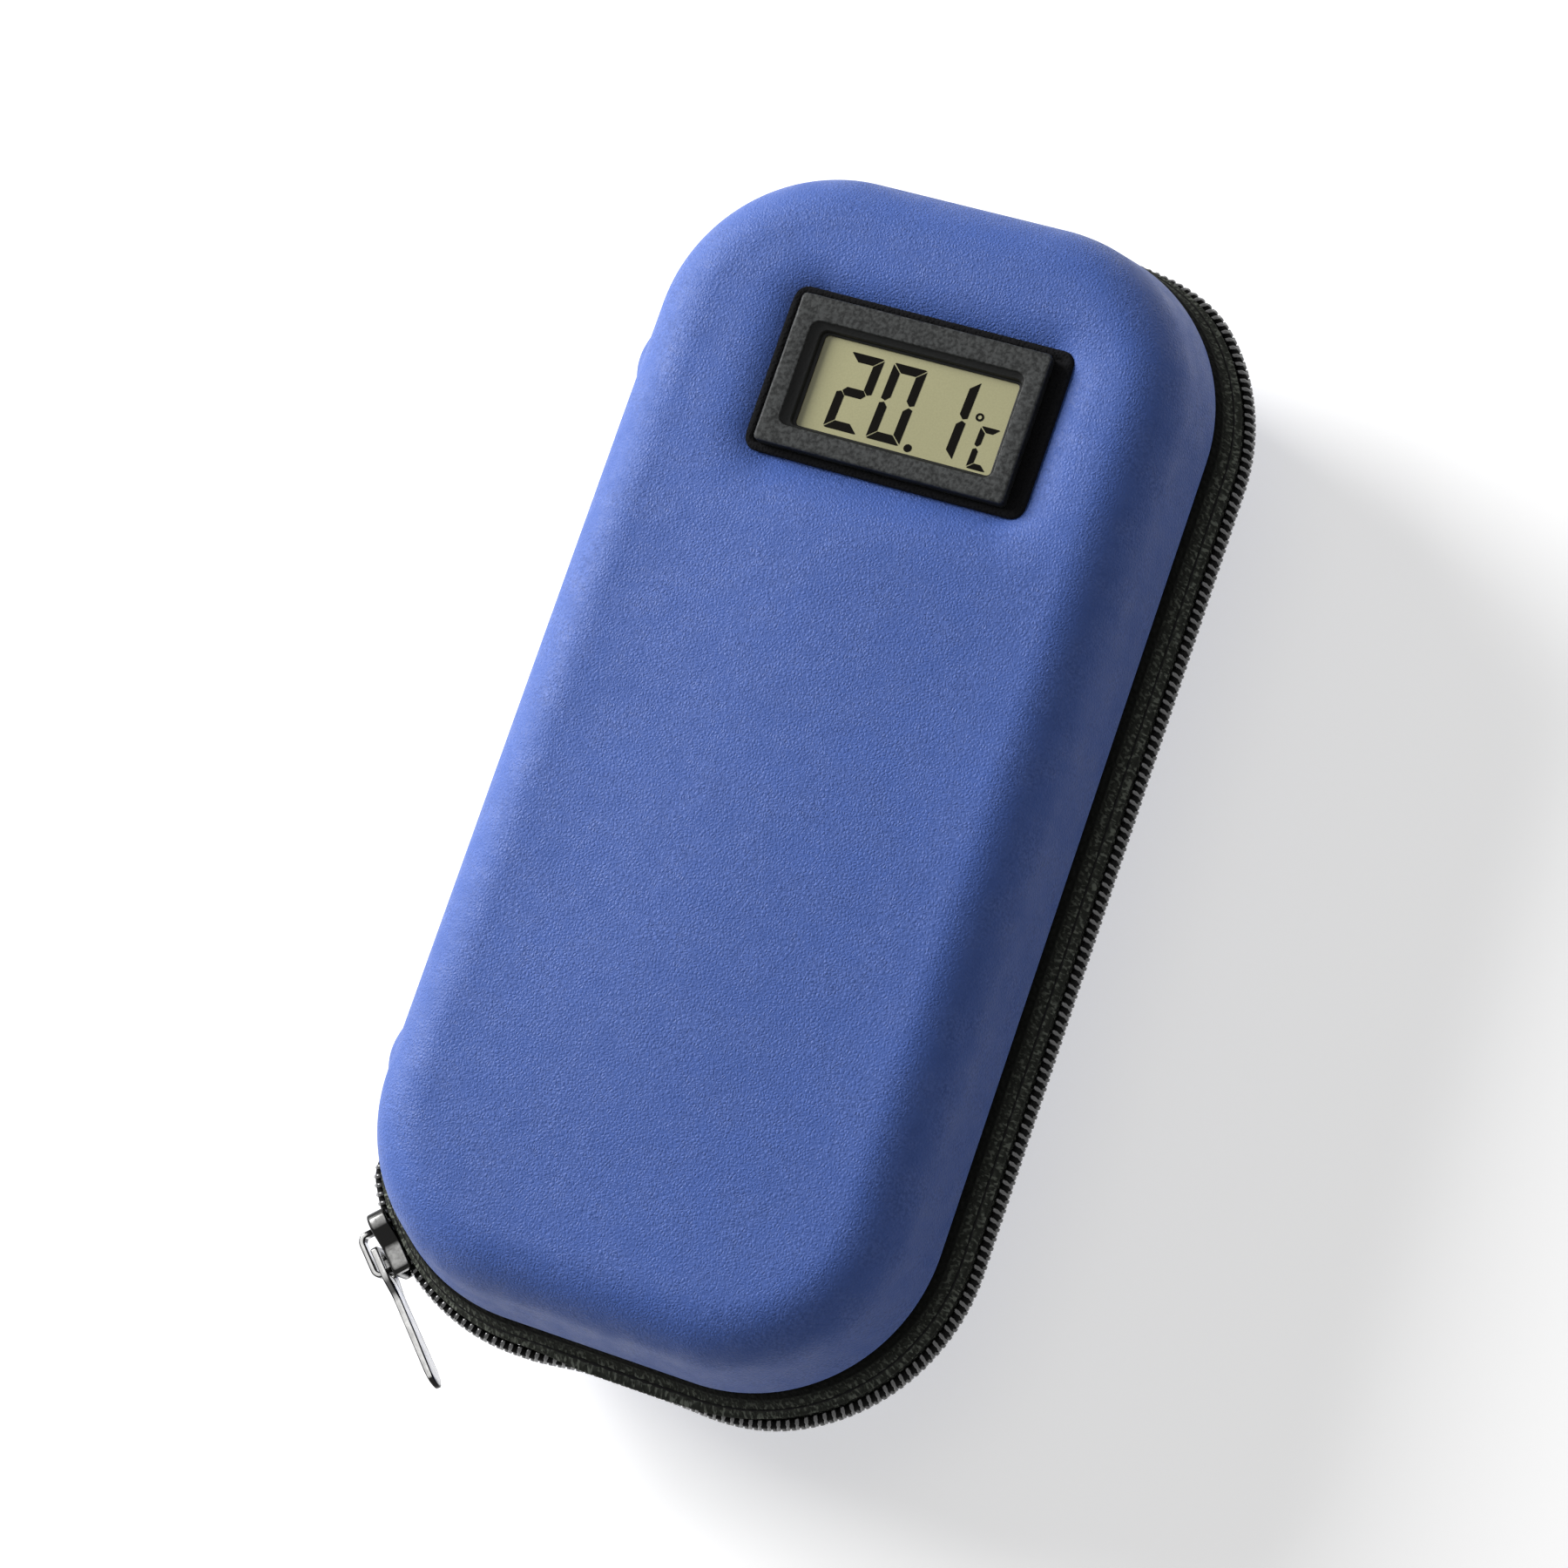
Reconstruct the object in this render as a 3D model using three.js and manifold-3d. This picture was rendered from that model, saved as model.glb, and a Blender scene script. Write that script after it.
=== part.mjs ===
// Zipped hard case that keeps insulin pens cool, with a panel thermometer set in its lid.
// Lengths are in millimetres and +Z is up. The origin is the centre of the underside.
// +Y points to the thermometer end, +X to the zipped long side and -X to the spine.
// Both halves are drawn about the zip plane: a rise is a height above it for the lid,
// and a depth below it for the base. An inset is a distance inwards from the zip line.
import * as THREE from 'three';
import { mergeVertices } from 'three/addons/utils/BufferGeometryUtils.js';
import Module from 'manifold-3d';

const wasm = await Module();
wasm.setup();

// Outline of the closed case at the zip
const caseWidth = 118;
const caseLength = 230;
const halfHeight = 33;
const cornerRadius = 40.5;

// Moulded shells and their linings
const rimInset = 5.6;
const rimRise = 11.5;
const edgeRadius = 12;
const wallDraftDegrees = 12.5;
const shellWall = 3.2;
const liningThickness = 0.8;
const seatGap = 0.3;
const cutOverrun = 2;

// Zip tape and its two coils
const tapeThickness = 0.9;
const tapeLegHeight = 6;
const tapeStartDegrees = 6.5;
const coilStartDegrees = 12;
const coilDepth = 2.2;
const coilRise = 2.4;
const coilPitch = 2.6;
const toothTipRise = 0.65;
const toothRootRise = 1.25;
const coilParting = 2.3;
const stopLength = 2.4;
const endRunPastCorner = 4;

// Slider, its bridge and its pull
const sliderDegrees = 45;
const sliderLength = 12;
const sliderPlate = 1.2;
const sliderOuterStandOff = 0.5;
const sliderInnerStandOff = 5.3;
const sliderRearHalf = 4.1;
const sliderFrontHalf = 6.4;
const sliderFlange = 1.1;
const sliderShoulder = 1.5;
const sliderNose = 3.5;
const sliderNoseChamfer = 1.4;
const sliderRearChamfer = 0.7;
const diamondHalf = 1.3;
const diamondLength = 5;
const bridgeWidth = 2.4;
const bridgeThickness = 1.2;
const bridgeHalfLength = 4.6;
const bridgeRoom = 2.9;
const pullLength = 27.5;
const pullThickness = 1.2;
const pullEyeWidth = 6.4;
const pullNeckWidth = 3.4;
const pullTipWidth = 4.6;
const pullBar = 1.6;
const pullEyeRoom = 4.1;
const pullEyeLength = 4.5;
const pullEyeBorder = 2;
const pullTipRadius = 1.4;

// Spine of fabric that hinges the two halves
const spineThickness = 1.6;
const spineOverCorner = 3.5;
const spineMidInset = 0.6;
const spineFlare = 1.9;
const spineFlareLength = 16;

// Base contents: cold pack, foam tray and the bands that hold the pens
const packBorder = 8.2;
const basePackEndBorder = 16.2;
const basePackThickness = 8;
const packSeam = 4;
const packFilm = 0.8;
const packCorner = 14;
const packShoulder = 13;
const trayTopDepth = 2;
const trayFloor = 3;
const channelCount = 3;
const channelLand = 6;
const channelBorder = 10.2;
const channelEndBorder = 14.2;
const bandWidth = 22;
const bandThickness = 1.2;
const bandLift = 3;
const bandEdge = 1.5;

// Lid contents: cold pack behind a net pocket
const netThickness = 0.8;
const netToDisplay = 6.2;
const bindingWidth = 4;
const bindingThickness = 1.6;

// Panel thermometer
const displayOffset = 2;
const displayFromEnd = 48.5;
const bezelWidth = 48;
const bezelHeight = 28.6;
const bezelThickness = 3;
const bezelCorner = 1.4;
const bezelChamfer = 0.5;
const bodyWidth = 45.8;
const bodyHeight = 26.2;
const bodyCorner = 1;
const bodyWall = 1.4;
const displayDepth = 15.2;
const displayFront = 1.9;
const windowWidth = 38.4;
const windowHeight = 18.6;
const windowTaper = 1;
const windowCorner = 1.2;
const dishDepth = 2.2;
const dishBorder = 1.4;
const dishSpreadX = 11;
const dishSpreadY = 8;
const dishCorner = 3;
const clipWidth = 7;
const clipHeight = 1.8;
const clipReach = 1.1;
const lcdSideGap = 1.2;
const lcdEndGap = 1;
const lcdThickness = 1.8;
const connectorInset = 1.8;
const connectorDepth = 2;
const connectorHeight = 1.6;
const boardThickness = 1;
const chipRadius = 3.6;
const chipRise = 1.1;
const innerGap = 0.2;
const contactSize = 8;
const contactThickness = 0.4;
const cellRadius = 5.8;
const cellThickness = 5.4;
const cellShoulder = 0.5;
const cellCapRadius = 4.9;
const cellSpacing = 12.4;
const coverThickness = 2.4;
const coverPlug = 1.2;
const coverPlugWall = 1.4;
const trackDepth = 1.2;
const trackLip = 0.5;
const trackLipReach = 0.8;
const trackHalf = 7.6;
const trackStart = 16;
const ventWidth = 1.2;
const ventLength = 8;
const ventPitch = 2.2;
const ventCount = 2;
const ventPastBead = 1;
const doorThickness = 0.9;
const doorRib = 0.35;
const doorRibWidth = 0.8;
const doorRibPitch = 2;
const doorRibCount = 3;
const beadRadius = 1.2;
const beadTipRadius = 0.8;
const beadTipRise = 0.4;
const beadNeckRadius = 0.6;
const beadNeckRise = 2.4;
const beadLegRadius = 0.4;
const beadLength = 3.2;
const beadSideBorder = 4.5;
const beadEndBorder = 3.1;

// Smoothness
const cornerSteps = 8;
const edgeSteps = 4;
const smallSteps = 3;
const channelSteps = 8;
const bandSteps = 6;
const roundSteps = 20;
const spineSteps = 8;

const wallDraft = THREE.MathUtils.degToRad(wallDraftDegrees);
const tapeStart = THREE.MathUtils.degToRad(tapeStartDegrees);
const coilStart = THREE.MathUtils.degToRad(coilStartDegrees);
const sliderAngle = THREE.MathUtils.degToRad(sliderDegrees);
const cornerX = caseWidth / 2 - cornerRadius;
const cornerY = caseLength / 2 - cornerRadius;

// Geometry helpers

// Turns a closed surface so that its faces point out.
function outward(geometry) {
  const place = geometry.attributes.position;
  const index = geometry.index.array;
  const [a, b, c] = [new THREE.Vector3(), new THREE.Vector3(), new THREE.Vector3()];
  let volume = 0;
  for (let i = 0; i < index.length; i += 3) {
    a.fromBufferAttribute(place, index[i]);
    b.fromBufferAttribute(place, index[i + 1]);
    c.fromBufferAttribute(place, index[i + 2]);
    volume += a.dot(b.cross(c));
  }
  if (volume < 0) {
    for (let i = 0; i < index.length; i += 3) {
      [index[i + 1], index[i + 2]] = [index[i + 2], index[i + 1]];
    }
  }
  geometry.computeVertexNormals();
  return geometry;
}

// Triangles that fill a flat outline, wound the way its points run.
function fill(outline) {
  const area = THREE.ShapeUtils.area(outline);
  return THREE.ShapeUtils.triangulateShape(outline, []).map(([a, b, c]) => {
    const turned = THREE.ShapeUtils.area([outline[a], outline[b], outline[c]]) * area < 0;
    return turned ? [a, c, b] : [a, b, c];
  });
}

// Joins rings of points, each ring closed on itself, and closes both ends with the same faces.
function skin(rings, endFaces) {
  const count = rings[0].length;
  const positions = rings.flat().flatMap((point) => [point.x, point.y, point.z]);
  const index = [];
  for (let ring = 0; ring + 1 < rings.length; ring += 1) {
    for (let i = 0; i < count; i += 1) {
      const near = ring * count + i;
      const next = ring * count + ((i + 1) % count);
      index.push(near, next, next + count);
      index.push(near, next + count, near + count);
    }
  }
  const last = (rings.length - 1) * count;
  for (const [a, b, c] of endFaces) {
    index.push(c, b, a);
    index.push(last + a, last + b, last + c);
  }
  const geometry = new THREE.BufferGeometry();
  geometry.setAttribute('position', new THREE.Float32BufferAttribute(positions, 3));
  geometry.setIndex(index);
  return outward(geometry);
}

// A ring with round corners, centred on (x, y).
function roundedRing(width, length, radius, height, x = 0, y = 0, steps = cornerSteps) {
  const points = [];
  const signs = [[1, 1], [-1, 1], [-1, -1], [1, -1]];
  signs.forEach(([sideX, sideY], quarter) => {
    for (let i = 0; i <= steps; i += 1) {
      const angle = (quarter + i / steps) * Math.PI / 2;
      points.push(new THREE.Vector3(
        x + sideX * (width / 2 - radius) + radius * Math.cos(angle),
        y + sideY * (length / 2 - radius) + radius * Math.sin(angle),
        height,
      ));
    }
  });
  return points;
}

// The outline of the case, drawn in by an inset.
function caseRing(inset, height) {
  return roundedRing(caseWidth - 2 * inset, caseLength - 2 * inset, cornerRadius - inset, height);
}

// A stack of convex rings, closed flat at both ends.
function stack(rings) {
  return skin(rings, fill(rings[0].map((point) => new THREE.Vector2(point.x, point.y))));
}

// An upright block with round corners between two heights.
function block(width, length, radius, low, high, x = 0, y = 0) {
  return stack([low, high].map((height) => roundedRing(width, length, radius, height, x, y, smallSteps)));
}

// A flat outline made thick, with its first axis, second axis and thickness laid along three axes.
function prism(points, depth, axes) {
  const shape = new THREE.Shape(points.map(([first, second]) => new THREE.Vector2(first, second)));
  const geometry = new THREE.ExtrudeGeometry(shape, { depth, bevelEnabled: false });
  geometry.applyMatrix4(new THREE.Matrix4().makeBasis(...axes));
  return merged(geometry);
}

// Shares the vertices of a geometry that was made face by face.
function merged(geometry) {
  geometry.deleteAttribute('normal');
  geometry.deleteAttribute('uv');
  return outward(mergeVertices(geometry));
}

const axisX = new THREE.Vector3(1, 0, 0);
const axisY = new THREE.Vector3(0, 1, 0);
const axisZ = new THREE.Vector3(0, 0, 1);
const alongX = [axisY, axisZ, axisX];
const alongY = [axisZ, axisX, axisY];

function solid(geometry) {
  const mesh = new wasm.Mesh({
    numProp: 3,
    vertProperties: new Float32Array(geometry.attributes.position.array),
    triVerts: new Uint32Array(geometry.index.array),
  });
  return new wasm.Manifold(mesh);
}

function surface(manifold) {
  const mesh = manifold.getMesh();
  const geometry = new THREE.BufferGeometry();
  geometry.setAttribute('position', new THREE.BufferAttribute(mesh.vertProperties, 3));
  geometry.setIndex(new THREE.BufferAttribute(mesh.triVerts, 1));
  geometry.computeVertexNormals();
  return geometry;
}

function join(...geometries) {
  return surface(geometries.map(solid).reduce((whole, piece) => whole.add(piece)));
}

function cut(geometry, ...tools) {
  return surface(tools.map(solid).reduce((whole, tool) => whole.subtract(tool), solid(geometry)));
}

function material(color, roughness, metalness = 0, opacity = 1) {
  return new THREE.MeshStandardMaterial({ color, roughness, metalness, opacity, transparent: opacity < 1 });
}

function piece(name, geometry, look) {
  const mesh = new THREE.Mesh(geometry, look);
  mesh.name = name;
  return mesh;
}

// Moulded shells

// Inset of a wall surface at a rise, for a surface that lies an offset inside the outer skin.
function wallInset(offset, rise) {
  return rimInset + offset / Math.cos(wallDraft) + (rise - rimRise) * Math.tan(wallDraft);
}

// Insets and rises of such a surface from the rim, up the drafted wall and round the edge.
function wallProfile(offset) {
  const centreRise = halfHeight - edgeRadius;
  const tangentRise = centreRise + edgeRadius * Math.sin(wallDraft);
  const centreInset = wallInset(0, tangentRise) + edgeRadius * Math.cos(wallDraft);
  const radius = edgeRadius - offset;
  const points = [[wallInset(offset, rimRise), rimRise]];
  for (let i = 0; i <= edgeSteps; i += 1) {
    const angle = wallDraft + (Math.PI / 2 - wallDraft) * (i / edgeSteps);
    points.push([centreInset - radius * Math.cos(angle), centreRise + radius * Math.sin(angle)]);
  }
  return points;
}

// An open cup between two offsets from the outer skin, for the lid (side 1) or the base (side -1).
function cup(offset, thickness, side) {
  const profile = [...wallProfile(offset + thickness).reverse(), ...wallProfile(offset)];
  return stack(profile.map(([inset, rise]) => caseRing(inset, side * rise)));
}

const liningOffset = shellWall + seatGap;
const roomOffset = liningOffset + liningThickness;

// The shallow dish that is pressed into the lid round the thermometer, at a depth below the skin.
const bezelSeat = halfHeight - dishDepth;
const displayPlace = caseLength / 2 - displayFromEnd;

function dish(depth) {
  const rings = [];
  for (let i = 0; i <= edgeSteps; i += 1) {
    const share = i / edgeSteps;
    const width = bezelWidth + 2 * (dishBorder + dishSpreadX * share);
    const height = bezelHeight + 2 * (dishBorder + dishSpreadY * share);
    const radius = dishCorner + Math.min(dishSpreadX, dishSpreadY) * share;
    const rise = bezelSeat - depth + dishDepth * (1 - Math.cos(Math.PI * share)) / 2;
    rings.push(roundedRing(width, height, radius, rise, displayOffset, displayPlace, smallSteps));
  }
  const top = rings[rings.length - 1].map((point) => point.clone().setZ(point.z + cutOverrun));
  return stack([...rings, top]);
}

// A cup whose wall follows the dish, with the thermometer's opening through it.
function dishedCup(offset, thickness) {
  const outer = wallProfile(offset).map(([inset, rise]) => caseRing(inset, rise));
  const inner = wallProfile(offset + thickness).map(([inset, rise]) => caseRing(inset, rise));
  const mouth = inner[0].map((point) => point.clone().setZ(point.z - cutOverrun));
  const body = cut(stack(outer), dish(offset));
  const room = cut(stack([mouth, ...inner]), dish(offset + thickness));
  const opening = block(
    bodyWidth + 2 * seatGap, bodyHeight + 2 * seatGap, bodyCorner,
    rimRise, halfHeight + cutOverrun, displayOffset, displayPlace,
  );
  return cut(body, room, opening);
}

// The zip line runs from one end of the spine round three sides to the other end.

const legs = [
  { x: -cornerX, y: -cornerY, from: Math.PI, turn: Math.PI / 2, length: cornerRadius * Math.PI / 2 },
  { x: -cornerX, y: -cornerY, from: -Math.PI / 2, turn: 0, length: 2 * cornerX },
  { x: cornerX, y: -cornerY, from: -Math.PI / 2, turn: Math.PI / 2, length: cornerRadius * Math.PI / 2 },
  { x: cornerX, y: -cornerY, from: 0, turn: 0, length: 2 * cornerY },
  { x: cornerX, y: cornerY, from: 0, turn: Math.PI / 2, length: cornerRadius * Math.PI / 2 },
  { x: cornerX, y: cornerY, from: Math.PI / 2, turn: 0, length: 2 * cornerX },
  { x: -cornerX, y: cornerY, from: Math.PI / 2, turn: Math.PI / 2, length: cornerRadius * Math.PI / 2 },
];
const lineLength = legs.reduce((sum, leg) => sum + leg.length, 0);

// The point at a distance along the line, drawn in by an inset.
function linePoint(distance, inset, height) {
  let rest = distance;
  let leg = legs[0];
  for (const candidate of legs) {
    leg = candidate;
    if (rest <= leg.length) {
      break;
    }
    rest -= leg.length;
  }
  const share = Math.min(rest / leg.length, 1);
  const angle = leg.from + leg.turn * share;
  const along = leg.turn === 0 ? rest : 0;
  const radius = cornerRadius - inset;
  return new THREE.Vector3(
    leg.x + radius * Math.cos(angle) - along * Math.sin(angle),
    leg.y + radius * Math.sin(angle) + along * Math.cos(angle),
    height,
  );
}

// Distances along the line between two limits, close on the corners and only at the ends of a straight.
function stations(start, end) {
  const marks = [start];
  let passed = 0;
  for (const leg of legs) {
    const steps = leg.turn === 0 ? 1 : cornerSteps;
    for (let i = 1; i <= steps; i += 1) {
      const mark = passed + leg.length * (i / steps);
      if (mark > start + coilPitch / 2 && mark < end - coilPitch / 2) {
        marks.push(mark);
      }
    }
    passed += leg.length;
  }
  return [...marks, end];
}

const cornerLength = cornerRadius * Math.PI / 2;
const tapeFrom = cornerRadius * tapeStart;
const tapeTo = lineLength - tapeFrom;
const coilFrom = cornerRadius * coilStart;
const coilTo = lineLength - coilFrom;
const endRunTo = cornerLength + endRunPastCorner;
const sliderCentre = cornerRadius * sliderAngle;

// How far each coil stands off the zip plane: the slider's diamond parts them ahead of it.
function parting(distance) {
  const ahead = sliderCentre + sliderShoulder - distance;
  const share = THREE.MathUtils.clamp(ahead / (sliderShoulder + sliderNose), 0, 1);
  return coilParting * share;
}

// Tape of one half: edge behind the coil, visible band up to the shell's rim, and a leg sewn inside.
const tapeEdgeInset = coilDepth + seatGap;
const tapeBendRise = coilRise + innerGap;
const tapeShelfRise = rimRise - seatGap;
const legOffset = roomOffset + seatGap;
const legTopRise = tapeShelfRise + tapeLegHeight;

function tapeSection(part) {
  const slope = (rimInset - tapeEdgeInset) / (tapeShelfRise - tapeBendRise);
  const across = tapeThickness * Math.hypot(1, slope);
  const innerShelf = tapeShelfRise - tapeThickness;
  const innerOffset = legOffset + tapeThickness;
  return [
    [tapeEdgeInset, seatGap + part],
    [tapeEdgeInset, tapeBendRise + part / 2],
    [rimInset, tapeShelfRise],
    [wallInset(legOffset, tapeShelfRise), tapeShelfRise],
    [wallInset(legOffset, legTopRise), legTopRise],
    [wallInset(innerOffset, legTopRise), legTopRise],
    [wallInset(innerOffset, innerShelf), innerShelf],
    [tapeEdgeInset + (innerShelf - tapeBendRise) * slope + across, innerShelf],
    [tapeEdgeInset + across, tapeBendRise + part / 2],
    [tapeEdgeInset + across, seatGap + part],
  ];
}

function tape(start, end, side, parted) {
  const marks = stations(start, end);
  const rings = marks.map((mark) => {
    const section = tapeSection(parted ? parting(mark) : 0);
    return section.map(([inset, rise]) => linePoint(mark, inset, side * rise));
  });
  return skin(rings, fill(tapeSection(0).map(([inset, rise]) => new THREE.Vector2(inset, rise))));
}

// One coil of the chain: its teeth reach past the zip plane into the roots of the other coil.
function coil(start, end, side, parted) {
  const first = Math.ceil(start / (coilPitch / 2));
  const last = Math.floor(end / (coilPitch / 2));
  const rings = [];
  for (let step = first; step <= last; step += 1) {
    const mark = step * coilPitch / 2;
    const part = parted ? parting(mark) : 0;
    const isTip = (step % 2 === 0) === (side > 0);
    const low = part + (isTip ? -toothTipRise : toothRootRise);
    const high = part + coilRise;
    const section = [[0, high], [0, low], [coilDepth, low], [coilDepth, high]];
    rings.push(section.map(([inset, rise]) => linePoint(mark, inset, side * rise)));
  }
  return skin(rings, [[0, 1, 2], [0, 2, 3]]);
}

// A small stop on the coil's end, seated on the tape.
function stop(start, side, part) {
  const rings = [start, start + stopLength].map((mark) => {
    const section = [[0, coilRise], [0, seatGap], [coilDepth, seatGap], [coilDepth, coilRise]];
    return section.map(([inset, rise]) => linePoint(mark, inset, side * (rise + part)));
  });
  return skin(rings, [[0, 1, 2], [0, 2, 3]]);
}

// Slider, drawn with X outwards from the coil's outer face, Y back along the closed chain and Z up.

// Half outline of a plate that widens from the chain end to the nose, mirrored about the zip plane.
function sliderOutline(rearHalf, frontHalf, shorten) {
  const end = sliderLength / 2 - shorten;
  const upper = [
    [end, rearHalf - sliderRearChamfer],
    [end - sliderRearChamfer, rearHalf],
    [sliderShoulder, rearHalf],
    [-sliderNose, frontHalf],
    [-end + sliderNoseChamfer, frontHalf],
    [-end, frontHalf - sliderNoseChamfer],
  ];
  return [...upper, ...upper.map(([y, z]) => [y, -z]).reverse()];
}

// Outer plate with its bent rims, inner plate, and the diamond that joins them at the nose.
function sliderBody() {
  const rimReach = sliderOuterStandOff + coilDepth - innerGap;
  const rearRoom = sliderRearHalf - sliderFlange;
  const frontRoom = sliderFrontHalf - sliderFlange;
  const outer = prism(
    sliderOutline(sliderRearHalf, sliderFrontHalf, 0), rimReach + sliderPlate, alongX,
  ).translate(sliderOuterStandOff - rimReach, 0, 0);
  const room = prism(
    sliderOutline(rearRoom, frontRoom, -cutOverrun), rimReach + cutOverrun, alongX,
  ).translate(sliderOuterStandOff - rimReach - cutOverrun, 0, 0);
  const inner = prism(
    sliderOutline(rearRoom, frontRoom, sliderRearChamfer), sliderPlate, alongX,
  ).translate(-sliderInnerStandOff - sliderPlate, 0, 0);
  const nose = -sliderLength / 2 + sliderNoseChamfer;
  const diamond = prism([
    [nose, -diamondHalf / 2], [nose + diamondLength / 4, -diamondHalf],
    [nose + diamondLength, 0], [nose + diamondLength / 4, diamondHalf], [nose, diamondHalf / 2],
  ], sliderInnerStandOff + sliderOuterStandOff + sliderPlate, alongX)
    .translate(-sliderInnerStandOff - sliderPlate / 2, 0, 0);
  return join(cut(outer, room), diamond, inner);
}

const bridgeFoot = sliderOuterStandOff + sliderPlate + seatGap;
const bridgeTop = bridgeFoot + bridgeRoom + bridgeThickness;
const pullPivot = bridgeFoot + bridgeRoom / 2;

function sliderBridge() {
  const half = bridgeHalfLength;
  const room = half - bridgeThickness;
  const shoulder = bridgeTop - bridgeThickness;
  const points = [
    [bridgeFoot, half], [shoulder, half], [bridgeTop, room],
    [bridgeTop, -room], [shoulder, -half], [bridgeFoot, -half],
    [bridgeFoot, -room], [shoulder, -room + bridgeThickness / 2],
    [shoulder, room - bridgeThickness / 2], [bridgeFoot, room],
  ];
  return prism(points, bridgeWidth, [axisX, axisY, axisZ]).translate(0, 0, -bridgeWidth / 2);
}

// Pull, drawn along +Y from the axis of its own bar.
function pullTab() {
  const eyeEnd = pullBar / 2 + pullEyeLength + pullEyeBorder;
  const tipStart = pullLength - pullTipRadius;
  const upper = [
    [-pullBar / 2, pullEyeWidth / 2], [eyeEnd - pullEyeBorder, pullEyeWidth / 2],
    [eyeEnd + pullEyeBorder, pullNeckWidth / 2], [tipStart, pullTipWidth / 2],
    [pullLength, pullTipWidth / 2 - pullTipRadius],
  ];
  const lower = upper.map(([y, z]) => [y, -z]).reverse();
  const tab = prism([...upper, ...lower], pullThickness, alongX).translate(-pullThickness / 2, 0, 0);
  const eyeHalf = pullEyeRoom / 2;
  const eye = prism([
    [pullBar / 2, -eyeHalf], [pullBar / 2 + pullEyeLength, -eyeHalf],
    [pullBar / 2 + pullEyeLength, eyeHalf], [pullBar / 2, eyeHalf],
  ], pullThickness + 2 * cutOverrun, alongX).translate(-pullThickness / 2 - cutOverrun, 0, 0);
  return cut(tab, eye);
}

// Spine

// A strip from rim to rim at a depth below the spine's outer face, rounded outwards, with both
// ends puffed out where the zip tucks under.
function spineStrip(depth, thickness) {
  const half = cornerY + spineOverCorner;
  const marks = [-half, -half + spineFlareLength / 4, -half + spineFlareLength / 2, -half + spineFlareLength];
  const places = [...marks, 0, ...marks.map((mark) => -mark).reverse()];
  const reach = rimRise - seatGap;
  const rings = places.map((place) => {
    const nearEnd = THREE.MathUtils.clamp((half - Math.abs(place)) / spineFlareLength, 0, 1);
    const flare = spineFlare * Math.sin(Math.PI * Math.sqrt(1 - nearEnd) * (1 - nearEnd / 2)) ** 2;
    const outer = [];
    const inner = [];
    for (let i = 0; i <= spineSteps; i += 1) {
      const lean = (i / spineSteps) * 2 - 1;
      const crown = Math.cos(lean * Math.PI / 2);
      const inset = rimInset + depth - (rimInset - spineMidInset + flare) * crown;
      outer.push([inset, lean * reach]);
      inner.unshift([inset + thickness, lean * reach]);
    }
    const section = [...outer, ...inner];
    return section.map(([inset, rise]) => new THREE.Vector3(-caseWidth / 2 + inset, place, rise));
  });
  return skin(rings, fill(rings[0].map((point) => new THREE.Vector2(point.x, point.z))));
}

// Soft contents

// A sealed pouch of gel: flat seam all round, full in the middle.
function coldPack(width, length, thickness) {
  const levels = [];
  for (let i = 0; i <= edgeSteps; i += 1) {
    const angle = (i / edgeSteps) * Math.PI / 2;
    const inset = packSeam + packShoulder * (1 - Math.cos(angle));
    levels.push([inset, packFilm / 2 + (thickness - packFilm) / 2 * Math.sin(angle)]);
  }
  const half = [[0, packFilm / 2], ...levels];
  const profile = [...half.map(([inset, rise]) => [inset, -rise]).reverse(), ...half];
  return stack(profile.map(([inset, rise]) => roundedRing(
    width - 2 * inset, length - 2 * inset, Math.max(packCorner - inset / 2, packSeam), rise, 0, 0, smallSteps,
  )));
}

const contentInset = wallInset(legOffset + tapeThickness, legTopRise) + seatGap;
const contentWidth = caseWidth - 2 * contentInset;
const contentLength = caseLength - 2 * contentInset;
const packWidth = contentWidth - 2 * packBorder;
const basePackLength = contentLength - 2 * basePackEndBorder;
const basePackTop = -(halfHeight - roomOffset) + seatGap + basePackThickness;
const trayBottom = basePackTop + seatGap;
const channelFloor = trayBottom + trayFloor;
const channelPitch = (contentWidth - 2 * channelBorder + channelLand) / channelCount;
const channelWidth = channelPitch - channelLand;
const channelLength = contentLength - 2 * channelEndBorder;

function channelPlaces() {
  return Array.from({ length: channelCount }, (_, i) => (i - (channelCount - 1) / 2) * channelPitch);
}

// Foam tray with a round-bottomed channel for each pen.
function penTray() {
  const body = stack([caseRing(contentInset, trayBottom), caseRing(contentInset, -trayTopDepth)]);
  const radius = channelWidth / 2;
  const tools = channelPlaces().map((place) => {
    const points = [];
    for (let i = 0; i <= channelSteps; i += 1) {
      const angle = Math.PI * (1 + i / channelSteps);
      points.push([channelFloor + radius + radius * Math.sin(angle), place + radius * Math.cos(angle)]);
    }
    points.push([cutOverrun, place + radius], [cutOverrun, place - radius]);
    return prism(points, channelLength, alongY).translate(0, -channelLength / 2, 0);
  });
  return cut(body, ...tools);
}

// An elastic band sewn across the tray, arched over each channel.
function penBand() {
  const half = contentWidth / 2 - bandEdge;
  const places = [-half];
  for (const centre of channelPlaces()) {
    for (let i = 0; i <= bandSteps; i += 1) {
      places.push(centre + channelWidth * (i / bandSteps - 1 / 2));
    }
  }
  places.push(half);
  const lift = (place) => {
    const near = Math.min(...channelPlaces().map((centre) => Math.abs(place - centre)));
    return near < channelWidth / 2 ? bandLift * Math.cos(Math.PI * near / channelWidth) ** 2 : 0;
  };
  const low = places.map((place) => [-trayTopDepth + seatGap + lift(place), place]);
  const high = low.map(([rise, place]) => [rise + bandThickness, place]).reverse();
  return prism([...low, ...high], bandWidth, alongY).translate(0, -bandWidth / 2, 0);
}

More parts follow.
